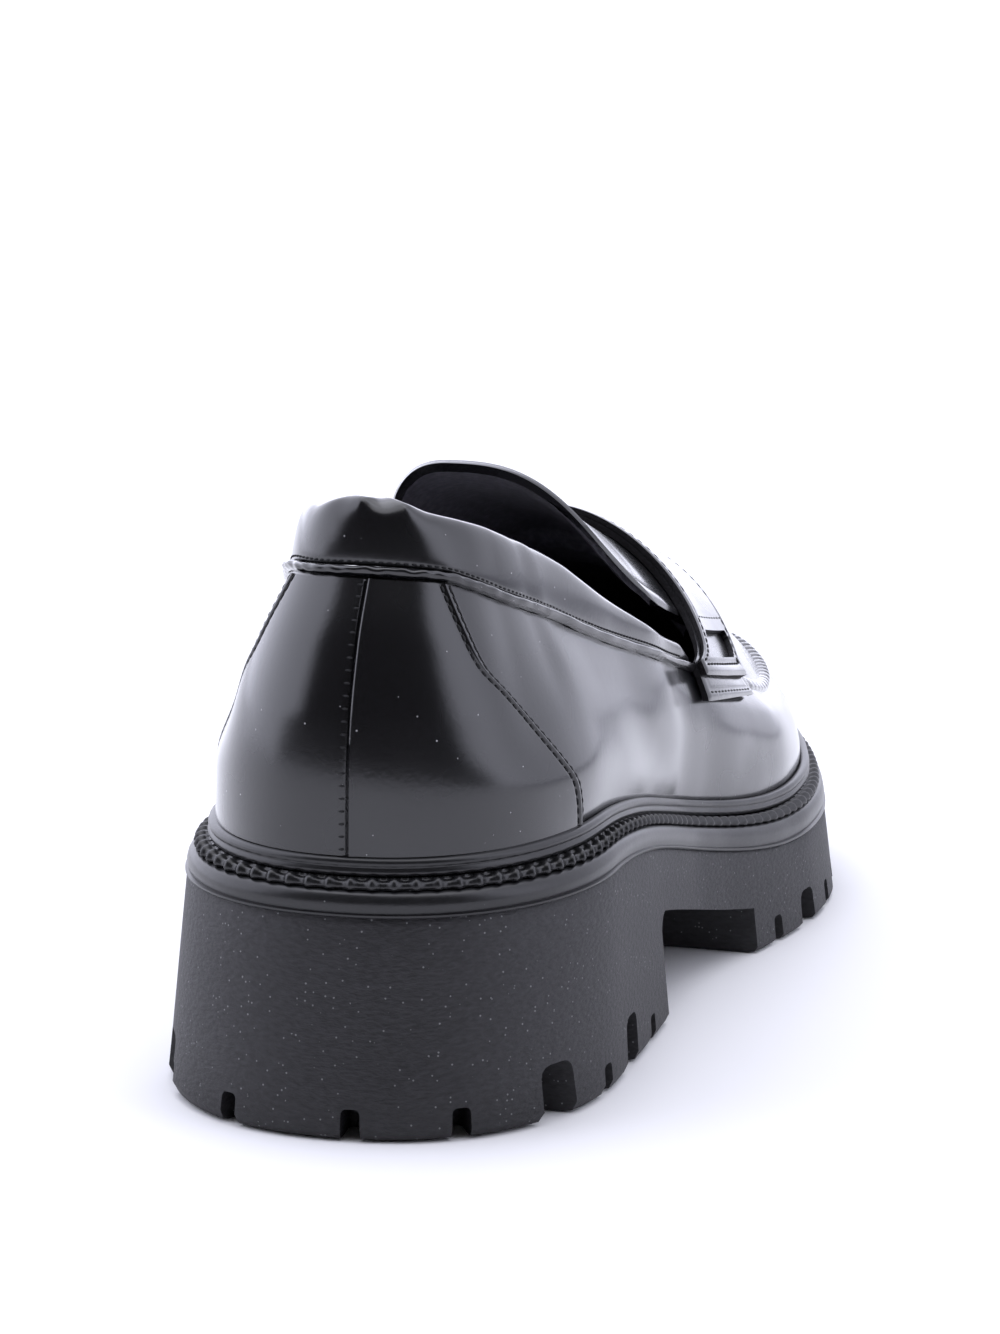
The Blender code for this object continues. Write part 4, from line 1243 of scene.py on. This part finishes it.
# %% Lasted shell
FINE = 4                    # columns for each step of the solid model
throat = round(place_at_share(THROAT_SHARE) * STEPS) / STEPS
vamp_columns = round((1 - throat) * STEPS * FINE)


def wall_point(u, v):
    return bare_skin(even_run(u), 2.0 - v)


def vamp_point(side):
    def where(u, v):
        place = throat + (1 - throat) * u
        return bare_skin(side * place, 1.0 - v)
    return where


wall_sheet = lay("wall_sheet", 2 * STEPS * FINE, 30, wall_point)
vamp_outer = lay("vamp_outer", vamp_columns, 32, vamp_point(1))
vamp_inner = lay("vamp_inner", vamp_columns, 32, vamp_point(-1))
lasted_shell = joined("lasted_shell", wall_sheet, vamp_outer, vamp_inner)
edit(lasted_shell, face_out)
make_panel(lasted_shell, WALL, BRUSHED_CLEAN, back=LINING)
settle(lasted_shell, BRUSHED_CLEAN, "brushed_leather", "upper", angle=50.0)

# %% [markdown]
# ## Stitches
#
# One stitch is a small flattened sphere. It is modelled once and copied along a line, each copy
# turned to follow the line and to lie on the leather.

# %% Stitch helper
def stitch_row(name, path, normals, pitch, length, thick, across=False):
    """Stitches along a list of points, with the leather's normals at even steps of the row."""
    run = [0.0]
    for one, other in zip(path, path[1:]):
        run.append(run[-1] + (other - one).length)
    bpy.ops.object.select_all(action="DESELECT")
    bpy.ops.mesh.primitive_uv_sphere_add(segments=8, ring_count=5, radius=0.5)
    model = bpy.context.object
    only(model)
    model.scale = (length, thick, thick * 0.8)
    bpy.ops.object.transform_apply(location=True, rotation=True, scale=True)
    work = bmesh.new()
    count = max(int(run[-1] / pitch), 1)
    index = 0
    for i in range(count):
        goal = (i + 0.5) * run[-1] / count
        while index < len(run) - 2 and run[index + 1] < goal:
            index += 1
        t = (goal - run[index]) / max(run[index + 1] - run[index], 1e-9)
        point = path[index].lerp(path[index + 1], t)
        way = (path[index + 1] - path[index]).normalized()
        up = normals[round(goal / run[-1] * (len(normals) - 1))]
        up = (up - way * up.dot(way)).normalized()
        side = up.cross(way)
        if across:
            way, side = side, -way
        turn = Matrix((way, side, up)).transposed().to_4x4()
        turn.translation = point
        before = len(work.verts)
        work.from_mesh(model.data)
        work.verts.ensure_lookup_table()
        bmesh.ops.transform(work, matrix=turn, verts=work.verts[before:])
    work.to_mesh(model.data)
    work.free()
    model.name = name
    model.data.name = name
    settle(model, THREAD, "raw_edge_leather", angle=80.0)

# %% [markdown]
# ## Counters
#
# The two counters wrap the heel and meet at the back seam. Their front edge is turned under and sewn
# down with two rows, so the leather between the rows stands up a little and each row lies in a fine
# channel. The channels are part of the lift.

# %% Counter panels
foot_end = place_at_share(counter_share(0.0))
COUNTER_HIGH = 1 + 0.9 * BEAD_HEIGHT / BACK_HEIGHT / seam_height(0.1)
COUNTER_FOOT = RAND_HEIGHT + 0.0002
ROW_ONE = 0.0009            # the two rows' distances from the front edge
ROW_TWO = 0.0026
CHANNEL_DEPTH = 0.00030
CHANNEL_WIDTH = 0.00035
SWELL_HEIGHT = 0.00022      # the leather stands up between the two rows
SWELL_WIDTH = 0.0006
TURN_DEPTH = 0.0006         # how far the turned edges roll down
TURN_WIDTH = 0.0003
LAP_HEIGHT = 0.00035        # the fold beside the back seam
LAP_INSET = 0.0008
LAP_WIDTH = 0.0006
LAP_TURN_WIDTH = 0.00035


def seam_place(girth):
    """Place of the back seam, a little to the outer side of the heel's middle."""
    step = outline(1 / STEPS).x * wall_share(0.0, 2 - girth)
    return BACK_SEAM_SHIFT / step / STEPS


def bell(value, centre, width):
    """1 at the centre and falling off to both sides."""
    return math.exp(-((value - centre) / width) ** 2)


def counter_end(girth):
    return place_at_share(counter_share(2 - girth))


def counter_corner(side, u, v):
    low = girth_at_height(side * foot_end * u, COUNTER_FOOT)
    girth = low + (COUNTER_HIGH - low) * v
    first = seam_place(girth) * side
    spread = 1 - (1 - u) ** 1.6
    return side * (first + (counter_end(girth) - first) * spread), girth


def counter_point(side):
    def where(u, v):
        place, girth = counter_corner(side, u, v)
        end = counter_end(girth)
        edge = (bare_skin(side * end, girth) - bare_skin(place, girth)).length
        back = (bare_skin(seam_place(girth), girth) - bare_skin(place, girth)).length
        lift = GAP + COUNTER_THICKNESS
        lift -= CHANNEL_DEPTH * bell(edge, ROW_ONE, CHANNEL_WIDTH)
        lift -= CHANNEL_DEPTH * bell(edge, ROW_TWO, CHANNEL_WIDTH)
        lift += SWELL_HEIGHT * bell(edge, (ROW_ONE + ROW_TWO) / 2, SWELL_WIDTH)
        lift -= TURN_DEPTH * bell(edge, 0.0, TURN_WIDTH)
        if side > 0:
            lift += LAP_HEIGHT * bell(back, LAP_INSET, LAP_WIDTH)
        lift -= TURN_DEPTH * bell(back, 0.0, LAP_TURN_WIDTH)
        return skin(place, girth, lift)
    return where


for side, label in ((1, "outer"), (-1, "inner")):
    node = f"counter_{label}"
    panel = lay(f"{label}_counter", 130, 44, counter_point(side))
    make_panel(panel, COUNTER_THICKNESS, BRUSHED)
    settle(panel, BRUSHED, "brushed_leather", node, angle=55.0)

# %% Counter stitches
COUNTER_SAMPLES = 120
BACK_SAMPLES = 80


def counter_row(side, inset):
    """Points and normals of a row at a distance from a counter's front edge."""
    points = []
    normals = []
    low = girth_at_height(side * foot_end, COUNTER_FOOT)
    for i in range(COUNTER_SAMPLES + 1):
        girth = low + (COUNTER_HIGH - low) * i / COUNTER_SAMPLES
        end = counter_end(girth)
        here = bare_skin(side * end, girth)
        step = (bare_skin(side * (end - PLACE_STEP), girth) - here).length / PLACE_STEP
        place = side * (end - inset / step)
        points.append(skin(place, girth, GAP + COUNTER_THICKNESS - 0.00012))
        normals.append(skin_normal(place, girth))
    return points, normals


for side, label in ((1, "outer"), (-1, "inner")):
    for inset, number in ((ROW_ONE, "front"), (ROW_TWO, "rear")):
        points, normals = counter_row(side, inset)
        name = f"{label}_counter_{number}_stitches"
        stitch_row(name, points, normals, pitch=0.0019, length=0.00145, thick=0.00062)

# %% [markdown]
# ## Back seam
#
# The outer counter laps over the inner one. Short stitches cross the lap at even steps, all the way
# down from the bead to the rand.

# %% Back seam stitches
def back_row(shift, lift):
    """Points and normals of a row beside the back seam."""
    points = []
    normals = []
    low = girth_at_height(0.0, COUNTER_FOOT)
    for i in range(BACK_SAMPLES + 1):
        girth = low + (COUNTER_HIGH - low) * i / BACK_SAMPLES
        step = outline(1 / STEPS).x * wall_share(0.0, 2 - girth) * STEPS
        place = seam_place(girth) + shift / step
        points.append(skin(place, girth, lift))
        normals.append(skin_normal(place if abs(place) > 0.001 else 0.001, girth))
    return points, normals


points, normals = back_row(-0.0007, GAP + COUNTER_THICKNESS - 0.0001)
stitch_row(
    "back_seam_stitches", points, normals, pitch=0.0022, length=0.0013, thick=0.0005, across=True,
)

# %% [markdown]
# ## Collar
#
# The collar is soft leather over foam, folded at the top. Its section is a rounded pad, wider than
# its foot. Behind the heel it leans back, and the leather gathers into small creases where it turns
# the tight corner at the seam. The bead under it is a thin roll with a fine row of stitches above.

# %% Collar sections
STRAP_REACH = 1.02          # the strap's sweep ends at this girth, and its ends run straight on
COLLAR_TUCK = 0.0012        # how far the collar's ends go under the strap
COLLAR_FADE = 0.006         # over this length they get lower
COLLAR_STOP = STRAP_REAR_Y - STRAP_REAR_SWEEP * STRAP_REACH ** 5 + COLLAR_TUCK
collar_end = place_at_share(share_of(COLLAR_STOP))
COLLAR_SIDE = [
    # depth as a share of the pad, rise as a share of the height
    (-0.10, 0.00),
    (-0.13, 0.12),
    (-0.14, 0.30),
    (-0.13, 0.52),
    (-0.09, 0.70),
    (-0.03, 0.82),
    (0.07, 0.92),
    (0.22, 0.98),
    (0.42, 1.00),
    (0.66, 0.94),
    (0.80, 0.78),
    (0.80, 0.55),
    (0.74, 0.30),
    (0.60, 0.10),
    (0.42, 0.00),
    (-0.10, 0.00),
]
CREASES = [
    # push outward, sideways place, width, how steeply it grows towards the collar's top
    (-0.0030, 0.0026, 0.0030, 8),
    (0.0007, -0.0018, 0.0010, 8),
    (-0.0011, -0.0060, 0.0028, 5),
    (-0.0009, 0.0115, 0.0050, 5),
    (0.0005, 0.0072, 0.0018, 8),
]


def collar_frame(place):
    """The collar's foot on the seam line, and the level direction away from the shoe."""
    origin = skin(place, 1.0)
    out = skin_normal(place, 1.0)
    out.z = 0.0
    return origin, out.normalized()


def pad_depth(height):
    """A lower collar has a thinner pad."""
    return COLLAR_FOOT + (COLLAR_PAD - COLLAR_FOOT) * min(height / COLLAR_HEIGHT * 1.4, 1.0)


def collar_point(u, row):
    place = collar_end * (2 * u - 1)
    depth, rise = row
    origin, out = collar_frame(place)
    share = share_of(outline(place).y)
    height = collar_height(share) * COLLAR_HEIGHT
    height *= 1 - 0.55 * ease(origin.y, COLLAR_STOP - COLLAR_FADE, COLLAR_STOP)
    flare = collar_flare(share) * COLLAR_FLARE
    along = origin.x - BACK_SEAM_SHIFT
    near = ease(-origin.y, 0.002, 0.016)
    push = -0.0006 * rise * (1 - ease(share, 0.03, 0.10))
    for outward, centre, width, power in CREASES:
        push += outward * bell(along, centre, width) * near * rise ** power
    point = origin + out * (flare * rise - depth * pad_depth(height) + push)
    drop = 0.0006 * bell(along, 0.0012, 0.0022) * near * rise ** 8
    point.z = origin.z + 0.0001 + height * rise - drop
    return point


collar_pad = sweep("collar_pad", 300, COLLAR_SIDE, collar_point)
make_roll(collar_pad)
finish_with(collar_pad, "SUBSURF", "soft", levels=1, render_levels=1)
settle(collar_pad, BRUSHED, "brushed_leather", "collar_band", angle=80.0)

# %% Bead
BEAD_SIDE = [
    # share of the height down, lift
    (0.00, -0.0002),
    (0.00, 0.0004),
    (0.10, 0.0010),
    (0.30, 0.0014),
    (0.52, 0.0014),
    (0.74, 0.0010),
    (0.86, 0.0004),
    (0.88, -0.0002),
    (0.00, -0.0002),
]


BEAD_NARROW = 0.84          # the dressed bead's height as a share of the solid one's
BEAD_WAVES = [
    # height, waves for each unit of place, how they slant, only behind the heel
    (0.00007, 90.0, 0, False),
    (0.00005, 217.0, 0, False),
    (0.00010, 190.0, 6, True),
    (0.00010, 347.0, -4, True),
]


def bead_point(u, row):
    place = collar_end * (2 * u - 1)
    down, lift = row
    behind = 1 - ease(abs(place), 0.06, 0.20)
    wave = 0.0
    for height, turns, slant, only_behind in BEAD_WAVES:
        strength = behind if only_behind else 1.0
        wave += strength * height * math.sin(place * turns + slant * down)
    level = seam_above(place) - BEAD_HEIGHT * BEAD_NARROW * down
    return skin(place, girth_at_height(place, level), lift + GAP + wave)


bead_roll = sweep("bead_roll", 600, BEAD_SIDE, bead_point)
make_roll(bead_roll)
settle(bead_roll, BRUSHED, "brushed_leather", "collar_bead", angle=80.0)

# %% Collar stitches
COLLAR_SAMPLES = 200


def collar_row(rise):
    """Points and normals of a row along the collar's foot, at a height above the seam line."""
    points = []
    normals = []
    for i in range(COLLAR_SAMPLES + 1):
        u = 0.02 + 0.96 * i / COLLAR_SAMPLES
        place = collar_end * (2 * u - 1)
        origin, out = collar_frame(place)
        share = share_of(outline(place).y)
        height = collar_height(share) * COLLAR_HEIGHT
        flare = collar_flare(share) * COLLAR_FLARE
        level = min(rise / height, 0.6)
        swell = pad_depth(height) * min(0.14 * level / 0.12, 0.16)
        point = origin + out * (flare * level + swell)
        point.z = origin.z + height * level
        points.append(point)
        normals.append(out)
    return points, normals


points, normals = collar_row(0.0011)
stitch_row("collar_stitches", points, normals, pitch=0.0015, length=0.0011, thick=0.00045)

# %% [markdown]
# ## Tongue
#
# The tongue is one sheet with a turned rim. It stands free behind the strap and is tucked under the
# vamp in front of it. Its inner side is lined, and that side is what shows from behind.

# %% Tongue sheet
TONGUE_HALF = 0.032         # about half the sheet's width, to tell how near its rim is
throat_y = outline(throat).y


def tongue_lift(y):
    tucked = ease(y, throat_y - 0.009, throat_y - 0.002)
    lip = TONGUE_LIP * (1 - ease(y, TONGUE_REAR_Y, TONGUE_REAR_Y + 0.02))
    return (TONGUE_LIFT + lip) * (1 - tucked) - (WALL + 3 * GAP) * tucked


def tongue_point(u, v):
    across = -1 + 2 * u
    swept = 0.15 * across ** 2 + 0.30 * across ** 4 + 0.55 * across ** 12
    rear = TONGUE_REAR_Y + TONGUE_SWEEP * swept
    y = rear + (throat_y + TONGUE_TUCK - rear) * v
    place = math.copysign(place_at_share(share_of(y)), across)
    rim = min(v * (throat_y - rear), (1 - abs(across)) * TONGUE_HALF)
    roll = 0.0004 * bell(rim, 0.0012, 0.0010) - 0.0005 * bell(rim, 0.0, 0.0004)
    return skin(place, abs(across) * TONGUE_GIRTH, tongue_lift(y) + roll * (1 - ease(y, 0.10, 0.12)))


tongue_sheet = lay("tongue_sheet", 96, 80, tongue_point)
make_panel(tongue_sheet, TONGUE_THICKNESS, BRUSHED_CLEAN, back=LINING)
settle(tongue_sheet, BRUSHED_CLEAN, "brushed_leather", "tongue", angle=60.0)

# %% [markdown]
# ## Saddle strap
#
# Two layers cross the instep. The lower one is wider and ends below the upper, and their cut edges
# are left raw, only dyed. The upper layer has an opening on each side, with a stitched margin.

# %% Strap layers
SEAM_SPREAD = (-0.06, -0.03, 0.0, 0.03, 0.06)
SEAM_ZONE = 0.2             # girths this near the seam line are averaged
STRAP_UNIT = 0.033          # about the length of one girth, to tell how near the strap's end is
TOP_INSET = 0.0004          # how far the upper layer's edge lies inside the lower one's


def strap_edge(across, run, setback):
    """y on the strap. run goes from its rear edge to its front edge."""
    reach = min(abs(across), STRAP_REACH)
    rear = STRAP_REAR_Y - STRAP_REAR_SWEEP * reach ** 5 + setback
    front = STRAP_FRONT_Y - STRAP_FRONT_SWEEP * reach ** 3 - setback
    return rear + (front - rear) * run


def on_strap(across, run, setback, lift):
    """Point on the strap, averaged near the seam line so that the leather bends softly there."""
    y = strap_edge(across, run, setback)
    place = math.copysign(place_at_share(share_of(y)), across)
    girth = abs(across) * (1 - STRAP_END_SLANT * run * across ** 2)
    if abs(girth - 1) > SEAM_ZONE:
        return skin(place, girth, lift)
    total = Vector((0.0, 0.0, 0.0))
    for step in SEAM_SPREAD:
        total += skin(place, girth + step, lift)
    return total / len(SEAM_SPREAD)


def strap_point(end, lift, setback):
    def where(u, v):
        across = end * (2 * u - 1)
        width = strap_edge(across, 1.0, setback) - strap_edge(across, 0.0, setback)
        rim = min(v * width, (1 - v) * width, (end - abs(across)) * STRAP_UNIT)
        turned = 0.00035 * bell(rim, 0.0, 0.0005) + 0.0002 * bell(rim, 0.0022, 0.0004)
        return on_strap(across, v, setback, lift - turned)
    return where


def cut_window(piece, end):
    """Deletes the faces of the two openings, found by their place on the sheet's UV map."""
    work = bmesh.new()
    work.from_mesh(piece.data)
    uv = work.loops.layers.uv.active
    middle = (WINDOW_INNER + WINDOW_OUTER) / 2
    half = (WINDOW_OUTER - WINDOW_INNER) / 2
    gone = []
    for face in work.faces:
        u = sum(loop[uv].uv.x for loop in face.loops) / len(face.loops)
        v = sum(loop[uv].uv.y for loop in face.loops) / len(face.loops)
        across = abs(end * (2 * u - 1))
        side = abs(across - middle) / half
        length = abs(v - 0.5) / (0.5 - WINDOW_MARGIN)
        if side < 1 and length < 1 - 0.12 * side ** 4:
            gone.append(face)
    bmesh.ops.delete(work, geom=gone, context="FACES")
    work.to_mesh(piece.data)
    work.free()


BASE_LIFT = TONGUE_LIFT + GAP + 0.0001 + STRAP_BASE_THICKNESS
TOP_LIFT = BASE_LIFT + STRAP_TOP_THICKNESS + 0.0001
strap_base = lay("strap_base", 150, 36, strap_point(STRAP_BASE_END, BASE_LIFT, 0.0))
make_panel(strap_base, STRAP_BASE_THICKNESS, BRUSHED_CLEAN, back=RAW_EDGE, rim=RAW_EDGE)
settle(strap_base, BRUSHED_CLEAN, "raw_edge_leather", "saddle_strap", angle=50.0)

strap_top = lay("strap_top", 260, 60, strap_point(STRAP_TOP_END, TOP_LIFT, TOP_INSET))
cut_window(strap_top, STRAP_TOP_END)
make_panel(strap_top, STRAP_TOP_THICKNESS, BRUSHED_CLEAN, back=RAW_EDGE, rim=RAW_EDGE)
settle(strap_top, BRUSHED_CLEAN, "brushed_leather", "strap_overlay", angle=50.0)

# %% Strap stitches
CORNER_SAMPLES = 60
REAR_ROW = 0.07             # runs of the rows near the upper layer's rear and front edges
FRONT_ROW = 0.93
MIDDLE_ROW_END = 0.76       # girth
END_ROW = 1.20


def strap_row(name, corners, lift, setback):
    """Stitches along straight runs between (across, run) corners of the strap."""
    points = []
    normals = []
    for (a0, r0), (a1, r1) in zip(corners, corners[1:]):
        for i in range(CORNER_SAMPLES):
            t = i / CORNER_SAMPLES
            across = a0 + (a1 - a0) * t
            run = r0 + (r1 - r0) * t
            share = share_of(strap_edge(across, run, setback))
            place = math.copysign(place_at_share(share), across)
            points.append(on_strap(across, run, setback, lift))
            normals.append(skin_normal(place, abs(across)))
    normals.append(normals[-1])
    stitch_row(name, points, normals, pitch=0.0024, length=0.0018, thick=0.00055)


top_row = (TOP_LIFT - 0.0001, STRAP_SETBACK)
for side, label in ((1, "outer"), (-1, "inner")):
    inner = side * (WINDOW_INNER - 0.05)
    outer = side * (WINDOW_OUTER + 0.028)
    frame_corners = [
        (inner, REAR_ROW), (outer, REAR_ROW), (outer, FRONT_ROW), (inner, FRONT_ROW), (inner, REAR_ROW),
    ]
    strap_row(f"{label}_opening_stitches", frame_corners, *top_row)
    end_corners = [(side * END_ROW, 0.05), (side * END_ROW, 0.95)]
    strap_row(f"{label}_strap_end_stitches", end_corners, BASE_LIFT - 0.0001, 0.0)
for name, run in (("strap_front_stitches", FRONT_ROW), ("strap_rear_stitches", REAR_ROW)):
    strap_row(name, [(-MIDDLE_ROW_END, run), (MIDDLE_ROW_END, run)], *top_row)

# %% [markdown]
# ## Moccasin seam
#
# Round the toe, apron and side wall are drawn together by hand over a cord. That leaves a ridge,
# with a stitch across it at every step and a small pucker between two stitches.

# %% Apron seam
seam_start_y = STRAP_FRONT_Y - STRAP_FRONT_SWEEP + 0.003
seam_start = place_at_share((seam_start_y + FEATHER_BACK) / FEATHER_LENGTH)
APRON_STITCHES = 62
PUCKER_COLUMNS = 8
APRON_SIDE = [
    # sideways share of the half width, lift as a share of the height
    (1.05, -0.10),
    (1.00, 0.12),
    (0.80, 0.52),
    (0.50, 0.86),
    (0.00, 1.00),
    (-0.50, 0.86),
    (-0.80, 0.52),
    (-1.00, 0.12),
    (-1.05, -0.10),
    (1.05, -0.10),
]


def apron_place(u):
    """Place for u from 0 to 1, from the outer side round the toe to the inner side."""
    place = seam_start + (2 - 2 * seam_start) * u
    return place if place <= 1 else place - 2


def apron_point(u, row):
    place = apron_place(u)
    side, lift = row
    width = (bare_skin(place, 0.99) - bare_skin(place, 1.01)).length / 0.02
    half = APRON_SEAM_WIDTH / 2 / width
    pucker = abs(math.sin(math.pi * u * APRON_STITCHES)) ** 0.7
    height = (APRON_SEAM_HEIGHT + GAP) * (0.74 + 0.30 * pucker)
    height *= 0.40 + 0.60 * ease(min(u, 1 - u), 0.03, 0.20)
    return skin(place, 1 + half * side * (0.92 + 0.12 * pucker), lift * height)


apron_ridge = sweep("apron_ridge", APRON_STITCHES * PUCKER_COLUMNS, APRON_SIDE, apron_point)
make_roll(apron_ridge)
settle(apron_ridge, BRUSHED_CLEAN, "brushed_leather", "apron_seam", angle=80.0)

# %% [markdown]
# ## Sock inside the shoe
#
# Board and sock are a slab that follows the sole's line, with a soft upper edge. It shows through
# the mouth of the shoe, so it keeps a lining's dull finish.

# %% Sock
SOCK_SIDE = [
    # step in, rise
    (0.0000, 0.0),
    (0.0000, 0.7),
    (0.0006, 0.93),
    (0.0016, 1.0),
]


def sock_point(u, row):
    inward, rise = row

    def height(y):
        return band_top(y) + GAP + INSOLE_THICKNESS * rise

    return ring_point(even_run(u), -(WALL + 2 * GAP) - inward, height)


sock = sweep("sock", 204, SOCK_SIDE, sock_point)
close_ends(sock)
settle(sock, LINING, "lining", "insole", angle=50.0)

# %% [markdown]
# ## Floor, light and camera
#
# Black gloss shows only what it reflects. The shoe stands in a white sweep with the room dark behind
# the camera, so the heel keeps a dark middle and the sides turn light. One soft light above whitens
# the floor and leaves a faint shadow under the arch.

# %% Floor
PAPER = (0.92, 0.92, 0.92)
SHADED_PAPER = (0.40, 0.40, 0.42)
bpy.ops.object.select_all(action="DESELECT")
bpy.ops.mesh.primitive_plane_add(size=8.0, location=(0.0, 0.0, -0.0002))
floor = bpy.context.object
floor.name = "floor"
bpy.ops.object.transform_apply(location=True, rotation=True, scale=True)
floor_finish, floor_tree, floor_shader = new_finish("floor_paper", PAPER, 0.9)
floor_shader.inputs["Specular IOR Level"].default_value = 0.0
floor_parts = floor_tree.nodes.new("ShaderNodeSeparateXYZ")
floor_tree.links.new(position(floor_tree), floor_parts.inputs["Vector"])

# The paper sinks into shade far away on the outer side, ahead of the toe
shade_x = ramp(floor_tree, floor_parts.outputs["X"], 0.16, 0.90, 0.0, 1.0)
shade_y = ramp(floor_tree, floor_parts.outputs["Y"], 0.10, 0.90, 0.0, 1.0)
far_shade = math_node(floor_tree, "MULTIPLY", shade_x, shade_y)
paper_tone = mix_colour(floor_tree, far_shade, PAPER, SHADED_PAPER)
floor_tree.links.new(paper_tone, floor_shader.inputs["Base Color"])
floor.data.materials.append(floor_finish)

# %% World
ROOM_BEHIND = (0.05, 0.048, 0.047)
WHITE_SWEEP = (1.95, 1.98, 2.30)
world = bpy.data.worlds.new("studio")
bpy.context.scene.world = world
world.use_nodes = True
sky = world.node_tree


def sky_math(operation, one, other=None):
    return math_node(sky, operation, one, other)


def sky_step(value, start, end, low, high):
    return ramp(sky, value, start, end, low, high, "SMOOTHSTEP")


def turned(value, start, end, low, high):
    """A soft step between two bearings in degrees."""
    return sky_step(value, math.radians(start), math.radians(end), low, high)


direction = sky.nodes.new("ShaderNodeTexCoord")
parts = sky.nodes.new("ShaderNodeSeparateXYZ")
sky.links.new(direction.outputs["Generated"], parts.inputs["Vector"])
height = parts.outputs["Z"]
bearing = sky_math("ARCTAN2", parts.outputs["X"], sky_math("MULTIPLY", parts.outputs["Y"], -1.0))

# The dark room lies round a bearing of 12 degrees, and is wider just above the floor
near_floor = sky_step(height, 0.02, 0.17, math.radians(17), 0.0)
off_middle = sky_math("ABSOLUTE", sky_math("SUBTRACT", bearing, math.radians(12)))
room = turned(sky_math("SUBTRACT", off_middle, near_floor), 54, 72, 0.0, 1.0)

# The sweep is dimmer past the outer side, and ends in a bright top
past_side = turned(bearing, 92, 125, 0.0, 0.42)
ahead = turned(bearing, 165, 179, 1.0, 0.0)
dimmed = sky_math("SUBTRACT", 1.0, sky_math("MULTIPLY", past_side, ahead))
overhead = sky_step(height, 0.84, 0.97, 0.0, 0.66)
lit = sky_math("MAXIMUM", sky_math("MULTIPLY", room, dimmed), overhead)
background = sky.nodes["Background"]
sky.links.new(mix_colour(sky, lit, ROOM_BEHIND, WHITE_SWEEP), background.inputs["Color"])
background.inputs["Strength"].default_value = 1.0

# %% Light
bpy.ops.object.select_all(action="DESELECT")
bpy.ops.object.light_add(type="AREA", location=(0.0, 0.1, 1.5))
lamp = bpy.context.object
lamp.name = "top_box"
lamp.data.shape = "RECTANGLE"
lamp.data.size = 1.4
lamp.data.size_y = 1.6
lamp.data.energy = 6.0
lamp.rotation_euler = Vector((0.0, 0.0, -1.0)).to_track_quat("-Z", "Y").to_euler()

# %% Camera
FOCAL_PIXELS = 3690.6
PHOTO_HEIGHT = 1334         # pixels
SENSOR = 36.0
azimuth = math.radians(15.925)
elevation = math.radians(10.406)
roll = math.radians(0.35)
look_at = Vector((-0.00522, 0.090, 0.06211))
distance = 0.77546
back = Vector((
    math.sin(azimuth) * math.cos(elevation),
    -math.cos(azimuth) * math.cos(elevation),
    math.sin(elevation),
))
right = Vector((math.cos(azimuth), math.sin(azimuth), 0.0))
up = back.cross(right)
camera_x = right * math.cos(roll) + up * math.sin(roll)
camera_y = -right * math.sin(roll) + up * math.cos(roll)
lens = bpy.data.cameras.new("photo_camera")
lens.sensor_fit = "VERTICAL"
lens.sensor_height = SENSOR
lens.sensor_width = SENSOR
lens.lens = FOCAL_PIXELS / PHOTO_HEIGHT * SENSOR
lens.clip_start = 0.01
camera = bpy.data.objects.new("photo_camera", lens)
bpy.context.scene.collection.objects.link(camera)
pose = Matrix((camera_x, camera_y, back)).transposed().to_4x4()
pose.translation = look_at + back * distance
camera.matrix_world = pose
bpy.context.scene.camera = camera
bpy.context.scene.view_settings.view_transform = "Standard"
print("Camera stands at", [round(c, 3) for c in pose.translation])
